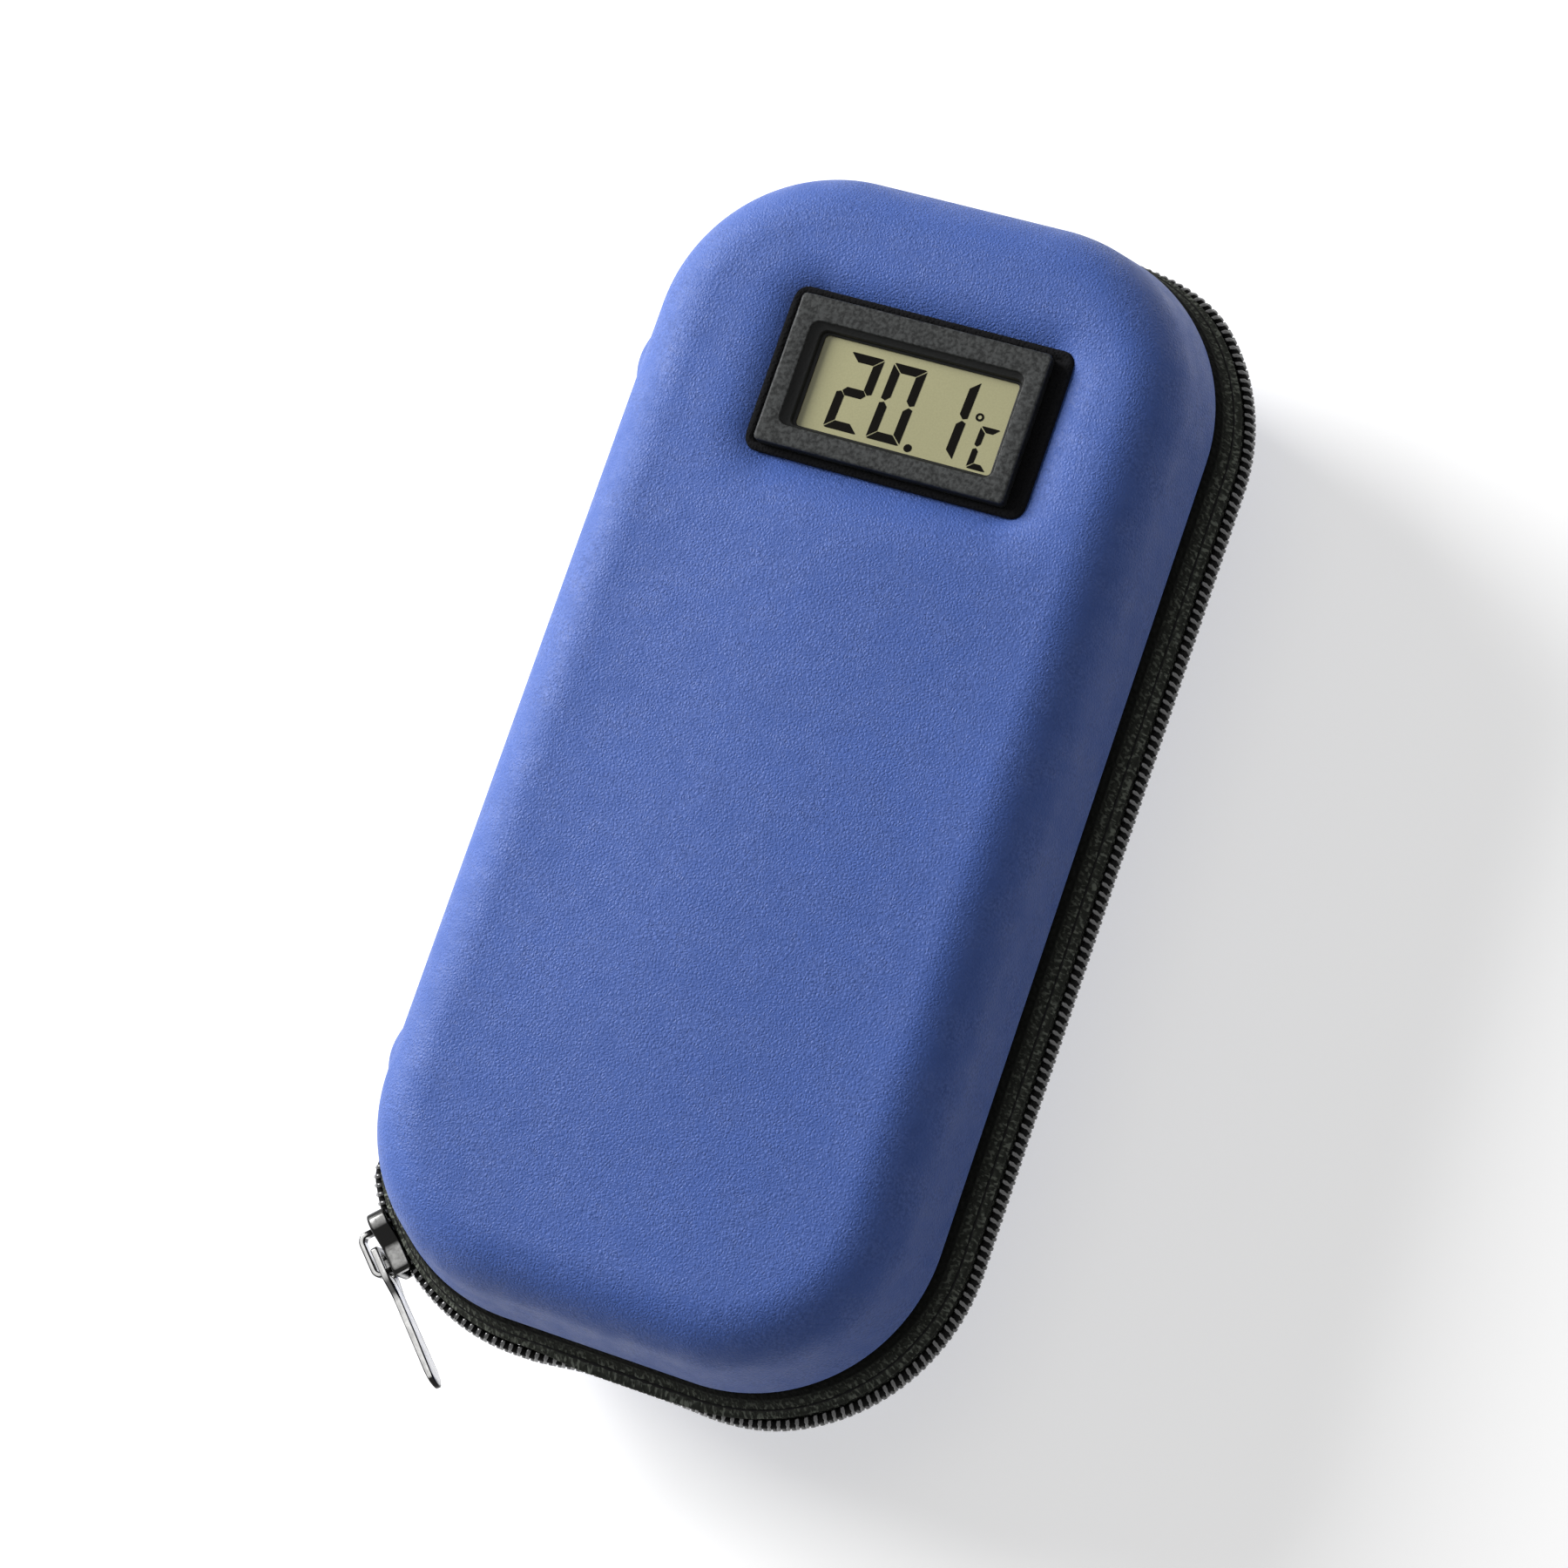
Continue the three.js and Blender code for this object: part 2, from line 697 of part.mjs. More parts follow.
const netHigh = legTopRise - innerGap / 2;
const netMouth = displayPlace - bezelHeight / 2 - netToDisplay;
const lidPackLow = netHigh + seatGap;
const lidPackThickness = halfHeight - roomOffset - seatGap - lidPackLow;
const lidPackLength = contentLength / 2 - packBorder + netMouth - packSeam;

// The net of the lid's pocket: the case outline, cut straight at the pocket's mouth.
function pocketNet() {
  const outline = caseRing(contentInset, 0).filter((point) => point.y < netMouth);
  const side = contentWidth / 2;
  const points = [...outline.map((point) => [point.x, point.y]), [side, netMouth], [-side, netMouth]];
  const start = points.findIndex(([x, y]) => x === Math.min(...points.map((other) => other[0])) && y < 0);
  const turned = [...points.slice(start), ...points.slice(0, start)];
  return prism(turned, netThickness, [axisX, axisY, axisZ]).translate(0, 0, netHigh - netThickness);
}

function pocketBinding() {
  const low = netHigh - netThickness / 2 - bindingThickness / 2;
  return block(
    contentWidth, bindingWidth, bindingThickness / 2,
    low, low + bindingThickness, 0, netMouth + seatGap + bindingWidth / 2,
  );
}

// Panel thermometer, drawn about its own centre with rises from the zip plane

const displayTop = bezelSeat + seatGap + bezelThickness;
const displayBack = displayTop - displayDepth;
const coverTop = displayBack + coverThickness;
const cavityWidth = bodyWidth - 2 * bodyWall;
const cavityHeight = bodyHeight - 2 * bodyWall;
const lcdWidth = cavityWidth - 2 * lcdSideGap;
const lcdHeight = cavityHeight - 2 * lcdEndGap;
const beadOffset = cavityWidth / 2 - beadSideBorder;
const beadPlace = cavityHeight / 2 - beadEndBorder;
const lcdTop = displayTop - displayFront - seatGap;
const lcdLow = lcdTop - lcdThickness;
const connectorTop = lcdLow - innerGap;
const boardTop = connectorTop - connectorHeight - innerGap;
const boardLow = boardTop - boardThickness;
const contactTop = boardLow - innerGap;
const cellTop = contactTop - contactThickness - innerGap;

function displayHousing() {
  const flangeLow = bezelSeat + seatGap;
  const flange = stack([
    roundedRing(bezelWidth, bezelHeight, bezelCorner, flangeLow, 0, 0, smallSteps),
    roundedRing(bezelWidth, bezelHeight, bezelCorner, displayTop - bezelChamfer, 0, 0, smallSteps),
    roundedRing(
      bezelWidth - 2 * bezelChamfer, bezelHeight - 2 * bezelChamfer, bezelCorner,
      displayTop, 0, 0, smallSteps,
    ),
  ]);
  const body = block(bodyWidth, bodyHeight, bodyCorner, coverTop + seatGap, flangeLow + bezelChamfer);
  const clipRise = bezelSeat - roomOffset - seatGap;
  const clips = [1, -1].map((side) => {
    const face = side * bodyWidth / 2;
    const points = [
      [face - side * bodyWall / 2, clipRise], [face + side * clipReach, clipRise],
      [face, clipRise - clipHeight], [face - side * bodyWall / 2, clipRise - clipHeight],
    ];
    return prism(points.map(([x, z]) => [z, x]), clipWidth, alongY).translate(0, -clipWidth / 2, 0);
  });
  const window = stack([
    roundedRing(windowWidth, windowHeight, windowCorner, lcdTop - seatGap, 0, 0, smallSteps),
    roundedRing(windowWidth, windowHeight, windowCorner, displayTop - displayFront, 0, 0, smallSteps),
    roundedRing(
      windowWidth + 2 * windowTaper, windowHeight + 2 * windowTaper, windowCorner,
      displayTop + seatGap, 0, 0, smallSteps,
    ),
  ]);
  const cavity = block(
    cavityWidth, cavityHeight, bodyCorner, displayBack - cutOverrun, displayTop - displayFront,
  );
  return cut(join(flange, body, ...clips), window, cavity);
}

function displayBoard() {
  const board = block(
    cavityWidth - 2 * seatGap, cavityHeight - 2 * seatGap, bodyCorner, boardLow, boardTop,
  );
  const root = -boardThickness / 2;
  const points = [new THREE.Vector2(0, root), new THREE.Vector2(chipRadius, root)];
  for (let i = smallSteps; i > 0; i -= 1) {
    const angle = (i / smallSteps) * Math.PI / 2;
    points.push(new THREE.Vector2(chipRadius * Math.sin(angle), chipRise * Math.cos(angle)));
  }
  points.push(new THREE.Vector2(0, chipRise));
  const chip = merged(new THREE.LatheGeometry(points, roundSteps)).rotateX(Math.PI / 2);
  return join(board, chip.translate(0, 0, boardTop));
}

function buttonCell() {
  const points = [
    [0, cellTop - cellThickness], [cellCapRadius, cellTop - cellThickness],
    [cellCapRadius, cellTop - cellThickness + cellShoulder],
    [cellRadius, cellTop - cellThickness + cellShoulder], [cellRadius, cellTop], [0, cellTop],
  ];
  const profile = points.map(([radius, rise]) => new THREE.Vector2(radius, rise));
  return merged(new THREE.LatheGeometry(profile, roundSteps)).rotateX(Math.PI / 2);
}

// Slot of the battery door: narrow mouth at the back face, wider behind the lips, open at one side.
function doorTrack() {
  const run = trackStart + bodyWidth / 2 + cutOverrun;
  const lipTop = displayBack + trackLip;
  const middle = (bodyWidth / 2 + cutOverrun - trackStart) / 2;
  const mouthHalf = trackHalf - trackLipReach;
  const points = [
    [-trackHalf, displayBack + trackDepth], [-trackHalf, lipTop], [-mouthHalf, lipTop],
    [-mouthHalf, displayBack - cutOverrun], [mouthHalf, displayBack - cutOverrun],
    [mouthHalf, lipTop], [trackHalf, lipTop], [trackHalf, displayBack + trackDepth],
  ];
  return prism(points, run, alongX).translate(middle - run / 2, 0, 0);
}

const cellHole = 2 * cellRadius + cellSpacing + 2 * seatGap;

function backCover() {
  const plate = block(bodyWidth, bodyHeight, bodyCorner, displayBack, coverTop);
  const plugWidth = cavityWidth - 2 * seatGap;
  const plugHeight = cavityHeight - 2 * seatGap;
  const plug = cut(
    block(plugWidth, plugHeight, bodyCorner, coverTop - coverPlug, coverTop + coverPlug),
    block(
      plugWidth - 2 * coverPlugWall, plugHeight - 2 * coverPlugWall, bodyCorner,
      coverTop - coverPlug - cutOverrun, coverTop + coverPlug + cutOverrun,
    ),
  );
  const hole = block(
    cellHole, 2 * cellRadius + 2 * seatGap, bodyCorner,
    displayBack - cutOverrun, coverTop + cutOverrun,
  );
  const vents = Array.from({ length: ventCount }, (_, i) => block(
    ventLength, ventWidth, ventWidth / 3, displayBack - cutOverrun, coverTop + cutOverrun,
    beadOffset - ventLength / 4, beadPlace + ventPastBead + (i - (ventCount - 1) / 2) * ventPitch,
  ));
  return cut(join(plate, plug), hole, doorTrack(), ...vents);
}

function batteryDoor() {
  const wide = trackHalf - seatGap;
  const narrow = trackHalf - trackLipReach - seatGap;
  const top = displayBack + trackDepth - innerGap;
  const step = displayBack + trackLip + innerGap;
  const low = top - doorThickness;
  const points = [
    [-wide, top], [-wide, step], [-narrow, step], [-narrow, low],
    [narrow, low], [narrow, step], [wide, step], [wide, top],
  ];
  const run = trackStart - seatGap + bodyWidth / 2;
  const slab = prism(points, run, alongX).translate(-trackStart + seatGap, 0, 0);
  const ribs = Array.from({ length: doorRibCount }, (_, i) => block(
    doorRibWidth, narrow, doorRibWidth / 4, low - doorRib, low + doorRib,
    bodyWidth / 2 - (i + 1) * doorRibPitch, 0,
  ));
  return join(slab, ...ribs);
}

function thermistor() {
  const low = boardLow - innerGap - beadLength;
  const points = [
    [0, low], [beadTipRadius, low + beadTipRise], [beadRadius, low + beadRadius],
    [beadNeckRadius, low + beadNeckRise], [beadLegRadius, low + beadLength], [0, low + beadLength],
  ];
  const profile = points.map(([radius, rise]) => new THREE.Vector2(radius, rise));
  return merged(new THREE.LatheGeometry(profile, cornerSteps)).rotateX(Math.PI / 2);
}

// Finishes

const blueCloth = material(0x5067ad, 0.55);
const blackTape = material(0x1f2022, 0.85);
const blackCoil = material(0x161718, 0.45);
const nickel = material(0x9c9b98, 0.3, 1);
const darkCloth = material(0x2b2d33, 0.9);
const greyFoam = material(0x3a3d44, 0.95);
const elastic = material(0x17181a, 0.8);
const gelFilm = material(0xbfd6ea, 0.25);
const bezelPlastic = material(0x232426, 0.5);
const lcdGlass = material(0x9d9f7c, 0.2);
const boardGreen = material(0x1e5a34, 0.5);
const softGrey = material(0xb9b7b2, 0.6);
const brass = material(0xb99a4d, 0.35, 1);

// Base half with the spine and everything that lies in it
const base = new THREE.Group();
base.position.z = halfHeight;
base.add(
  piece('lower_shell', cup(0, shellWall, -1), blueCloth),
  piece('lower_lining', cup(liningOffset, liningThickness, -1), darkCloth),
  piece('spine_fabric', spineStrip(0, spineThickness), blueCloth),
  piece('spine_lining', spineStrip(spineThickness + 2 * seatGap, liningThickness), darkCloth),
  piece('lower_zip_tape', tape(endRunTo, tapeTo, -1, false), blackTape),
  piece('lower_zip_coil', coil(endRunTo, coilTo, -1, false), blackCoil),
  piece('lower_tape_end', tape(tapeFrom, endRunTo - seatGap, -1, true), blackTape),
  piece('lower_coil_end', coil(coilFrom, endRunTo - seatGap, -1, true), blackCoil),
  piece('lower_end_stop', stop(coilFrom - stopLength - seatGap, -1, coilParting), nickel),
  piece('zip_start_stop', stop(coilTo + seatGap, -1, 0), nickel),
  piece('pen_tray', penTray(), greyFoam),
);
const basePack = piece('base_cold_pack', coldPack(packWidth, basePackLength, basePackThickness), gelFilm);
basePack.position.z = basePackTop - basePackThickness / 2;
base.add(basePack);
for (const [name, side] of [['pen_band_front', -1], ['pen_band_rear', 1]]) {
  const band = piece(name, penBand(), elastic);
  band.position.y = side * channelLength / 4;
  base.add(band);
}

// Lid half, which turns about the outer line of the spine
const lid = new THREE.Group();
lid.position.z = halfHeight;
lid.add(
  piece('upper_shell', dishedCup(0, shellWall), blueCloth),
  piece('upper_lining', dishedCup(liningOffset, liningThickness), darkCloth),
  piece('upper_zip_tape', tape(endRunTo, tapeTo, 1, false), blackTape),
  piece('upper_zip_coil', coil(endRunTo, coilTo, 1, false), blackCoil),
  piece('upper_tape_end', tape(tapeFrom, endRunTo - seatGap, 1, true), blackTape),
  piece('upper_coil_end', coil(coilFrom, endRunTo - seatGap, 1, true), blackCoil),
  piece('upper_end_stop', stop(coilFrom - stopLength - seatGap, 1, coilParting), nickel),
  piece('pocket_net', pocketNet(), elastic),
  piece('pocket_binding', pocketBinding(), elastic),
);
const lidPack = piece('lid_cold_pack', coldPack(packWidth, lidPackLength, lidPackThickness), gelFilm);
lidPack.position.set(0, netMouth - packSeam - lidPackLength / 2, lidPackLow + lidPackThickness / 2);
lid.add(lidPack);

// Thermometer in the lid
const display = new THREE.Group();
display.position.set(displayOffset, displayPlace, 0);
display.add(
  piece('display_housing', displayHousing(), bezelPlastic),
  piece('lcd_panel', block(lcdWidth, lcdHeight, bodyCorner / 2, lcdLow, lcdTop), lcdGlass),
  piece('display_board', displayBoard(), boardGreen),
  piece('display_back_cover', backCover(), bezelPlastic),
  piece('battery_door', batteryDoor(), bezelPlastic),
);
const connector = piece('lcd_connector', block(
  lcdWidth - 2 * connectorInset, connectorDepth, connectorDepth / 4,
  connectorTop - connectorHeight, connectorTop,
), softGrey);
connector.position.y = -lcdHeight / 2 + connectorDepth;
display.add(connector);
for (const [name, side] of [['left', -1], ['right', 1]]) {
  const cell = piece(`${name}_button_cell`, buttonCell(), nickel);
  const contact = piece(`${name}_cell_contact`, block(
    contactSize, contactSize, contactThickness, contactTop - contactThickness, contactTop,
  ), brass);
  for (const item of [cell, contact]) {
    item.position.x = side * cellSpacing / 2;
    display.add(item);
  }
}
const bead = piece('thermistor', thermistor(), bezelPlastic);
bead.position.set(beadOffset, beadPlace, 0);
display.add(bead);
lid.add(display);

// Slider on the zip line at one corner, and the pull on its bridge
const sliderTurn = new THREE.Group();
sliderTurn.position.set(-cornerX, -cornerY, halfHeight);
sliderTurn.rotation.z = Math.PI + sliderAngle;
const slider = new THREE.Group();
slider.position.x = cornerRadius;
slider.add(piece('slider_body', sliderBody(), nickel), piece('slider_bridge', sliderBridge(), nickel));
const pull = piece('pull_tab', pullTab(), nickel);
pull.position.x = pullPivot;
slider.add(pull);
sliderTurn.add(slider);

const coolingCase = new THREE.Group();
coolingCase.add(base, lid, sliderTurn);

export default coolingCase;
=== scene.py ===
"""Zipped hard case that keeps insulin pens cool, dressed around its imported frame.

Shapes are worked out in millimetres in the row frame, where z is up and the underside lies at
zero, and become metres when a mesh is made. A rise is a height above the zip plane for the lid,
or below it for the base. An inset is a distance inwards from the zip line.
"""

import logging
import math
from dataclasses import dataclass
from enum import Enum

import bpy
import numpy as np
from mathutils import Matrix, Vector


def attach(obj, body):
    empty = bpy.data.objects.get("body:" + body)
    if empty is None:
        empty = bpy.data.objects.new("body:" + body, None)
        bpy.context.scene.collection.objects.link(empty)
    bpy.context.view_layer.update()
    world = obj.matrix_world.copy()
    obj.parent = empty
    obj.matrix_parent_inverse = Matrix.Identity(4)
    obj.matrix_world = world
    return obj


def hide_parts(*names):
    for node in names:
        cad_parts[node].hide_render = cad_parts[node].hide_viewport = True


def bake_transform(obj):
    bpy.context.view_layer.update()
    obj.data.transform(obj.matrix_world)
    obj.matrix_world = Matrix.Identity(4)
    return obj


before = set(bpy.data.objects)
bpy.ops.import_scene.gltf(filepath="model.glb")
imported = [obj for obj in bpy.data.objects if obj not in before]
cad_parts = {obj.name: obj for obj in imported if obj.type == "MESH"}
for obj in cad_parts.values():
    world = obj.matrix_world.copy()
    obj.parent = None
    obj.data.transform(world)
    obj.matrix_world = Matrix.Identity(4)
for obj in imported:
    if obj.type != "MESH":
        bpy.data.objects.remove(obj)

log = logging.getLogger("cooling_case")

Pair = tuple[float, float]
Triple = tuple[float, float, float]
Quad = tuple[float, float, float, float]
Faces = list[list[int]]
Socket = bpy.types.NodeSocket

MM = 0.001
ZIP_PLANE = 33.0

# The cold packs: cell size of the even mesh, pressure, frames simulated, the longest move of a
# point, the room left for it on each face, and how full the finished pack is.
PAD_VOXEL = 4.0
PAD_PRESSURE = 4.0
PAD_FRAMES = 20
PAD_REACH = 1.0
PAD_SPARE = 0.8


class Space(Enum):
    """Where a pattern reads its place from."""

    OBJECT = "Object"
    SURFACE = "UV"


class End(Enum):
    """How a row of rings ends."""

    FLAT = "flat"
    POINT = "point"


class Side(Enum):
    """Which half of the case a piece belongs to, as the sign of its rises."""

    LID = 1
    BASE = -1


def ease(value: np.ndarray, low: float, high: float) -> np.ndarray:
    """Gentle share from 0 at low to 1 at high: with t the even share, t squared times 3 - 2 t."""
    share = np.clip((value - low) / (high - low), 0, 1)
    return share * share * (3 - 2 * share)


def hump(value: np.ndarray, rise: float, top: float, fall: float, end: float) -> np.ndarray:
    """Share that eases up from rise to top and down again from fall to end."""
    return ease(value, rise, top) * (1 - ease(value, fall, end))


def bell(value: np.ndarray, middle: float, width: float) -> np.ndarray:
    """Share that is 1 at the middle and falls off as a bell: e to the negative square."""
    return np.exp(-((value - middle) / width) ** 2)


def crowded(count: int) -> np.ndarray:
    """Values from -1 to 1 that crowd at the ends: sines of even angles."""
    return np.sin(np.linspace(-1, 1, count) * math.pi / 2)


def turns(count: int) -> np.ndarray:
    """Even angles once round a circle."""
    return np.linspace(0, 2 * math.pi, count, endpoint=False)


# Node helpers and finishes


class Board:
    """A node tree, with short calls for the nodes that the finishes share."""

    def __init__(self, owner: bpy.types.Material | bpy.types.World) -> None:
        """Switches on the owner's nodes."""
        owner.use_nodes = True
        self.tree = owner.node_tree

    def feed(self, node: bpy.types.Node, inputs: dict[str | int, object]) -> None:
        """Links sockets to a node's inputs, or sets the inputs' own values.

        Args:
            node: the node.
            inputs: a socket, number or colour for each input, by its name or place.
        """
        for key, value in inputs.items():
            if isinstance(value, Socket):
                self.tree.links.new(value, node.inputs[key])
            else:
                node.inputs[key].default_value = value

    def dress(self, inputs: dict[str, object]) -> None:
        """Feeds the material's shader."""
        self.feed(self.tree.nodes["Principled BSDF"], inputs)

    def node(self, kind: str, inputs: dict[str | int, object],
             **settings: object) -> bpy.types.Node:
        """Adds a node.

        Args:
            kind: the node's type name.
            inputs: what is fed to its inputs.
            **settings: values for its own properties.

        Returns:
            The node.
        """
        made = self.tree.nodes.new(kind)
        for key, value in settings.items():
            setattr(made, key, value)
        self.feed(made, inputs)
        return made

    def coords(self, space: Space, stretch: Triple = (1, 1, 1)) -> Socket:
        """Coordinates of the piece, stretched along each axis."""
        inputs = {0: self.node("ShaderNodeTexCoord", {}).outputs[space.value], "Scale": stretch}
        return self.node("ShaderNodeMapping", inputs).outputs["Vector"]

    def axis(self, where: Socket, name: str) -> Socket:
        """One of three coordinates."""
        return self.node("ShaderNodeSeparateXYZ", {0: where}).outputs[name]

    def noise(self, where: Socket, scale: float, detail: float = 3.0) -> Socket:
        """Smooth noise, by its cells per metre and its octaves."""
        inputs = {"Vector": where, "Scale": scale, "Detail": detail}
        return self.node("ShaderNodeTexNoise", inputs).outputs["Fac"]

    def cells(self, where: Socket, scale: float, feature: str = "F1") -> Socket:
        """Distances in a cell pattern, by its cells per metre."""
        inputs = {"Vector": where, "Scale": scale}
        return self.node("ShaderNodeTexVoronoi", inputs, feature=feature).outputs["Distance"]

    def bands(self, where: Socket, scale: float, axis: str, wobble: float = 0.0) -> Socket:
        """Sine bands across an axis, by Blender's band scale and distortion."""
        inputs = {"Vector": where, "Scale": scale, "Distortion": wobble}
        return self.node("ShaderNodeTexWave", inputs, bands_direction=axis).outputs["Fac"]

    def calc(self, operation: str, first: object, second: object) -> Socket:
        """Arithmetic on two sockets or numbers, by Blender's name of it."""
        return self.node("ShaderNodeMath", {0: first, 1: second}, operation=operation).outputs[0]

    def times(self, first: object, second: object) -> Socket:
        """The product of two sockets or numbers."""
        return self.calc("MULTIPLY", first, second)

    def spread(self, value: Socket, low: float, high: float,
               floor: float = 0.0, ceiling: float = 1.0) -> Socket:
        """Maps a value between floor and ceiling to one between low and high, clamped."""
        inputs = {"Value": value, "From Min": floor, "From Max": ceiling,
                  "To Min": low, "To Max": high}
        return self.node("ShaderNodeMapRange", inputs, clamp=True).outputs["Result"]

    def blend(self, share: object, first: object, second: object) -> Socket:
        """Mixes two colours by the share of the second."""
        inputs = {0: share, 6: first, 7: second}
        return self.node("ShaderNodeMix", inputs, data_type="RGBA").outputs[2]

    def relief(self, height: Socket, depth: float, strength: float = 1.0,
               below: Socket | None = None) -> Socket:
        """Bump from a height.

        Args:
            height: the height from 0 to 1.
            depth: its depth in millimetres.
            strength: share of it that shows.
            below: a bump that this one lies on.

        Returns:
            The normal.
        """
        inputs = {"Strength": strength, "Distance": depth * MM, "Height": height}
        if below is not None:
            inputs["Normal"] = below
        return self.node("ShaderNodeBump", inputs).outputs["Normal"]


@dataclass(frozen=True)
class Finish:
    """A surface finish: plain shader values, and a pattern that subclasses add."""

    name: str
    colour: Triple
    roughness: float = 0.6
    metallic: float = 0.0
    specular: float = 0.5
    sheen: float = 0.0
    coat: float = 0.0
    coat_roughness: float = 0.1
    mottling: float = 0.12

    def tone(self, factor: float) -> Quad:
        """The colour made darker or lighter, with full cover."""
        return (*(min(channel * factor, 1.0) for channel in self.colour), 1.0)

    def tones(self, board: Board, share: Socket, low: float, high: float) -> Socket:
        """The colour from one factor to another by a share."""
        return board.blend(share, self.tone(low), self.tone(high))

    def uneven(self, board: Board, value: Socket, less: float, more: float) -> Socket:
        """Roughness that runs from a little less to a little more as a noise grows."""
        return board.spread(value, self.roughness - less, self.roughness + more, 0.3, 0.7)

    def pattern(self, board: Board) -> None:
        """Colour, roughness and relief of a moulded surface with faint handling marks.

        Args:
            board: the material's nodes.
        """
        where = board.coords(Space.OBJECT)
        cloud = board.noise(where, 90.0)
        board.dress({
            "Base Color": self.tones(board, cloud, 1 - self.mottling, 1 + self.mottling),
            "Roughness": board.spread(cloud, self.roughness - 0.07, self.roughness + 0.07),
            "Normal": board.relief(board.noise(where, 2600.0, 2.0), 0.05, 0.6)})

    def make(self) -> bpy.types.Material:
        """Makes the material.

        Returns:
            The material.
        """
        material = bpy.data.materials.new(self.name)
        board = Board(material)
        board.dress({
            "Base Color": self.tone(1.0), "Roughness": self.roughness,
            "Metallic": self.metallic, "Specular IOR Level": self.specular,
            "Sheen Weight": self.sheen, "Coat Weight": self.coat,
            "Coat Roughness": self.coat_roughness})
        self.pattern(board)
        return material


@dataclass(frozen=True)
class GrainedCloth(Finish):
    """Coated cloth with a fine pebbled grain, pressed on the moulded foam."""

    pebble: float = 1500.0
    depth: float = 0.09

    def pattern(self, board: Board) -> None:
        """Pebbles from cell edges, softened by noise, over slow waves of the foam below.

        Specks of a few tenths of a millimetre show in patches, where the coating is worn.

        Args:
            board: the material's nodes.
        """
        where = board.coords(Space.OBJECT)
        specks = board.spread(board.noise(where, 1700.0, 2.0), 0.0, 1.0, 0.36, 0.64)
        worn = board.spread(board.noise(where, 150.0), 0.1, 1.0, 0.38, 0.62)
        edges = board.cells(where, self.pebble, "DISTANCE_TO_EDGE")
        pebbles = board.times(board.spread(edges, 0.0, 1.0, 0.0, 0.35), 0.55)
        waves = board.noise(where, 38.0, 2.0)
        blotch = board.noise(where, 240.0, 4.0)
        grain = board.calc("ADD", pebbles, board.times(board.noise(where, 3400.0), 0.75))
        tone = self.tones(board, board.spread(waves, 0.0, 1.0, 0.3, 0.7),
                          1 - self.mottling / 2, 1 + self.mottling / 2)
        spotted = board.blend(board.spread(blotch, 0.0, 0.35, 0.45, 0.75), tone, self.tone(0.8))
        pale = (*(1.12 * channel + 0.025 for channel in self.colour), 1.0)
        speckled = board.blend(specks, self.tone(0.76), pale)
        coated = board.blend(board.times(worn, 0.8), spotted, speckled)
        board.dress({
            "Base Color": board.blend(board.spread(grain, 0.3, 0.0, 0.15, 0.6),
                                      coated, self.tone(0.62)),
            "Roughness": self.uneven(board, blotch, 0.06, 0.08),
            "Normal": board.relief(grain, self.depth, 0.9, board.relief(waves, 0.5, 0.5))})


@dataclass(frozen=True)
class WovenTape(Finish):
    """Zip tape: ribs along the run crossed by the weft, with lint that catches the light.

    Up to one height, near the coil, a painted highlight makes the tape paler and shows its lint;
    from another height on, under the shell's rim, painted shade turns it black. Both are counted
    round its section from the coil, in metres.
    """

    along: float = 900.0
    across: float = 1300.0
    # Heights round the section, in metres: the painted highlight ends at the first, the painted
    # shade starts at the second.
    lit_height: float = 0.0036
    shade_line: float = 0.007

    def pattern(self, board: Board) -> None:
        """Warp times weft from the surface's own coordinates, under coarse speckles of lint.

        Args:
            board: the material's nodes.
        """
        surface = board.coords(Space.SURFACE)
        weave = board.times(board.bands(surface, self.along / 6.28, "X", 0.6),
                            board.bands(surface, self.across / 6.28, "Y", 0.6))
        lint = board.noise(board.coords(Space.SURFACE, (1.0, 0.55, 1.0)), 1500.0, 2.0)
        # Painted highlight near the coil and painted shade under the shell's rim, by height round
        # the section; lint shows only within the highlight.
        lit_share = board.spread(board.axis(surface, "Y"), 1.0, 0.0, self.lit_height, self.shade_line)
        lint_and_highlight = board.times(board.spread(lint, 0.0, 1.0, 0.5, 0.62), lit_share)
        shadow = board.blend(lit_share, self.tone(0.05), self.tones(board, weave, 0.6, 1.25))
        height = board.calc("ADD", board.times(weave, 0.4), lint)
        board.dress({
            "Base Color": board.blend(lint_and_highlight, shadow, self.tone(3.4)),
            "Roughness": board.spread(lint, self.roughness - 0.1, 1.0, 0.3, 0.7),
            "Normal": board.relief(height, 0.3, 0.9)})


@dataclass(frozen=True)
class Knit(Finish):
    """Brushed knit lining: small loops in rows."""

    loop: float = 1250.0

    def pattern(self, board: Board) -> None:
        """Cells stretched into loops, with a soft nap over them.

        Args:
            board: the material's nodes.
        """
        where = board.coords(Space.OBJECT, (1.0, 0.62, 1.0))
        loops = board.spread(board.cells(where, self.loop), 1.0, 0.0, 0.0, 0.6)
        height = board.calc("ADD", loops, board.times(board.noise(where, 2800.0), 0.5))
        tone = self.tones(board, board.noise(where, 60.0, 2.0), 0.85, 1.2)
        board.dress({
            "Base Color": board.blend(board.spread(height, 0.0, 0.6, 0.3, 1.3),
                                      self.tone(0.5), tone),
            "Normal": board.relief(height, 0.14, 0.8)})


@dataclass(frozen=True)
class CellFoam(Finish):
    """Closed-cell foam with cut cells and faint moulding clouds."""

    def pattern(self, board: Board) -> None:
        """Small round pits from cell distances, larger and fewer ones among them.

        Args:
            board: the material's nodes.
        """
        where = board.coords(Space.OBJECT)
        pits = board.spread(board.cells(where, 1700.0), 0.0, 1.0, 0.1, 0.6)
        holes = board.spread(board.cells(where, 420.0), 0.0, 1.0, 0.05, 0.16)
        height = board.times(pits, holes)
        tone = self.tones(board, board.noise(where, 70.0), 0.85, 1.25)
        board.dress({"Base Color": board.blend(height, self.tone(0.45), tone),
                     "Normal": board.relief(height, 0.12, 0.8)})


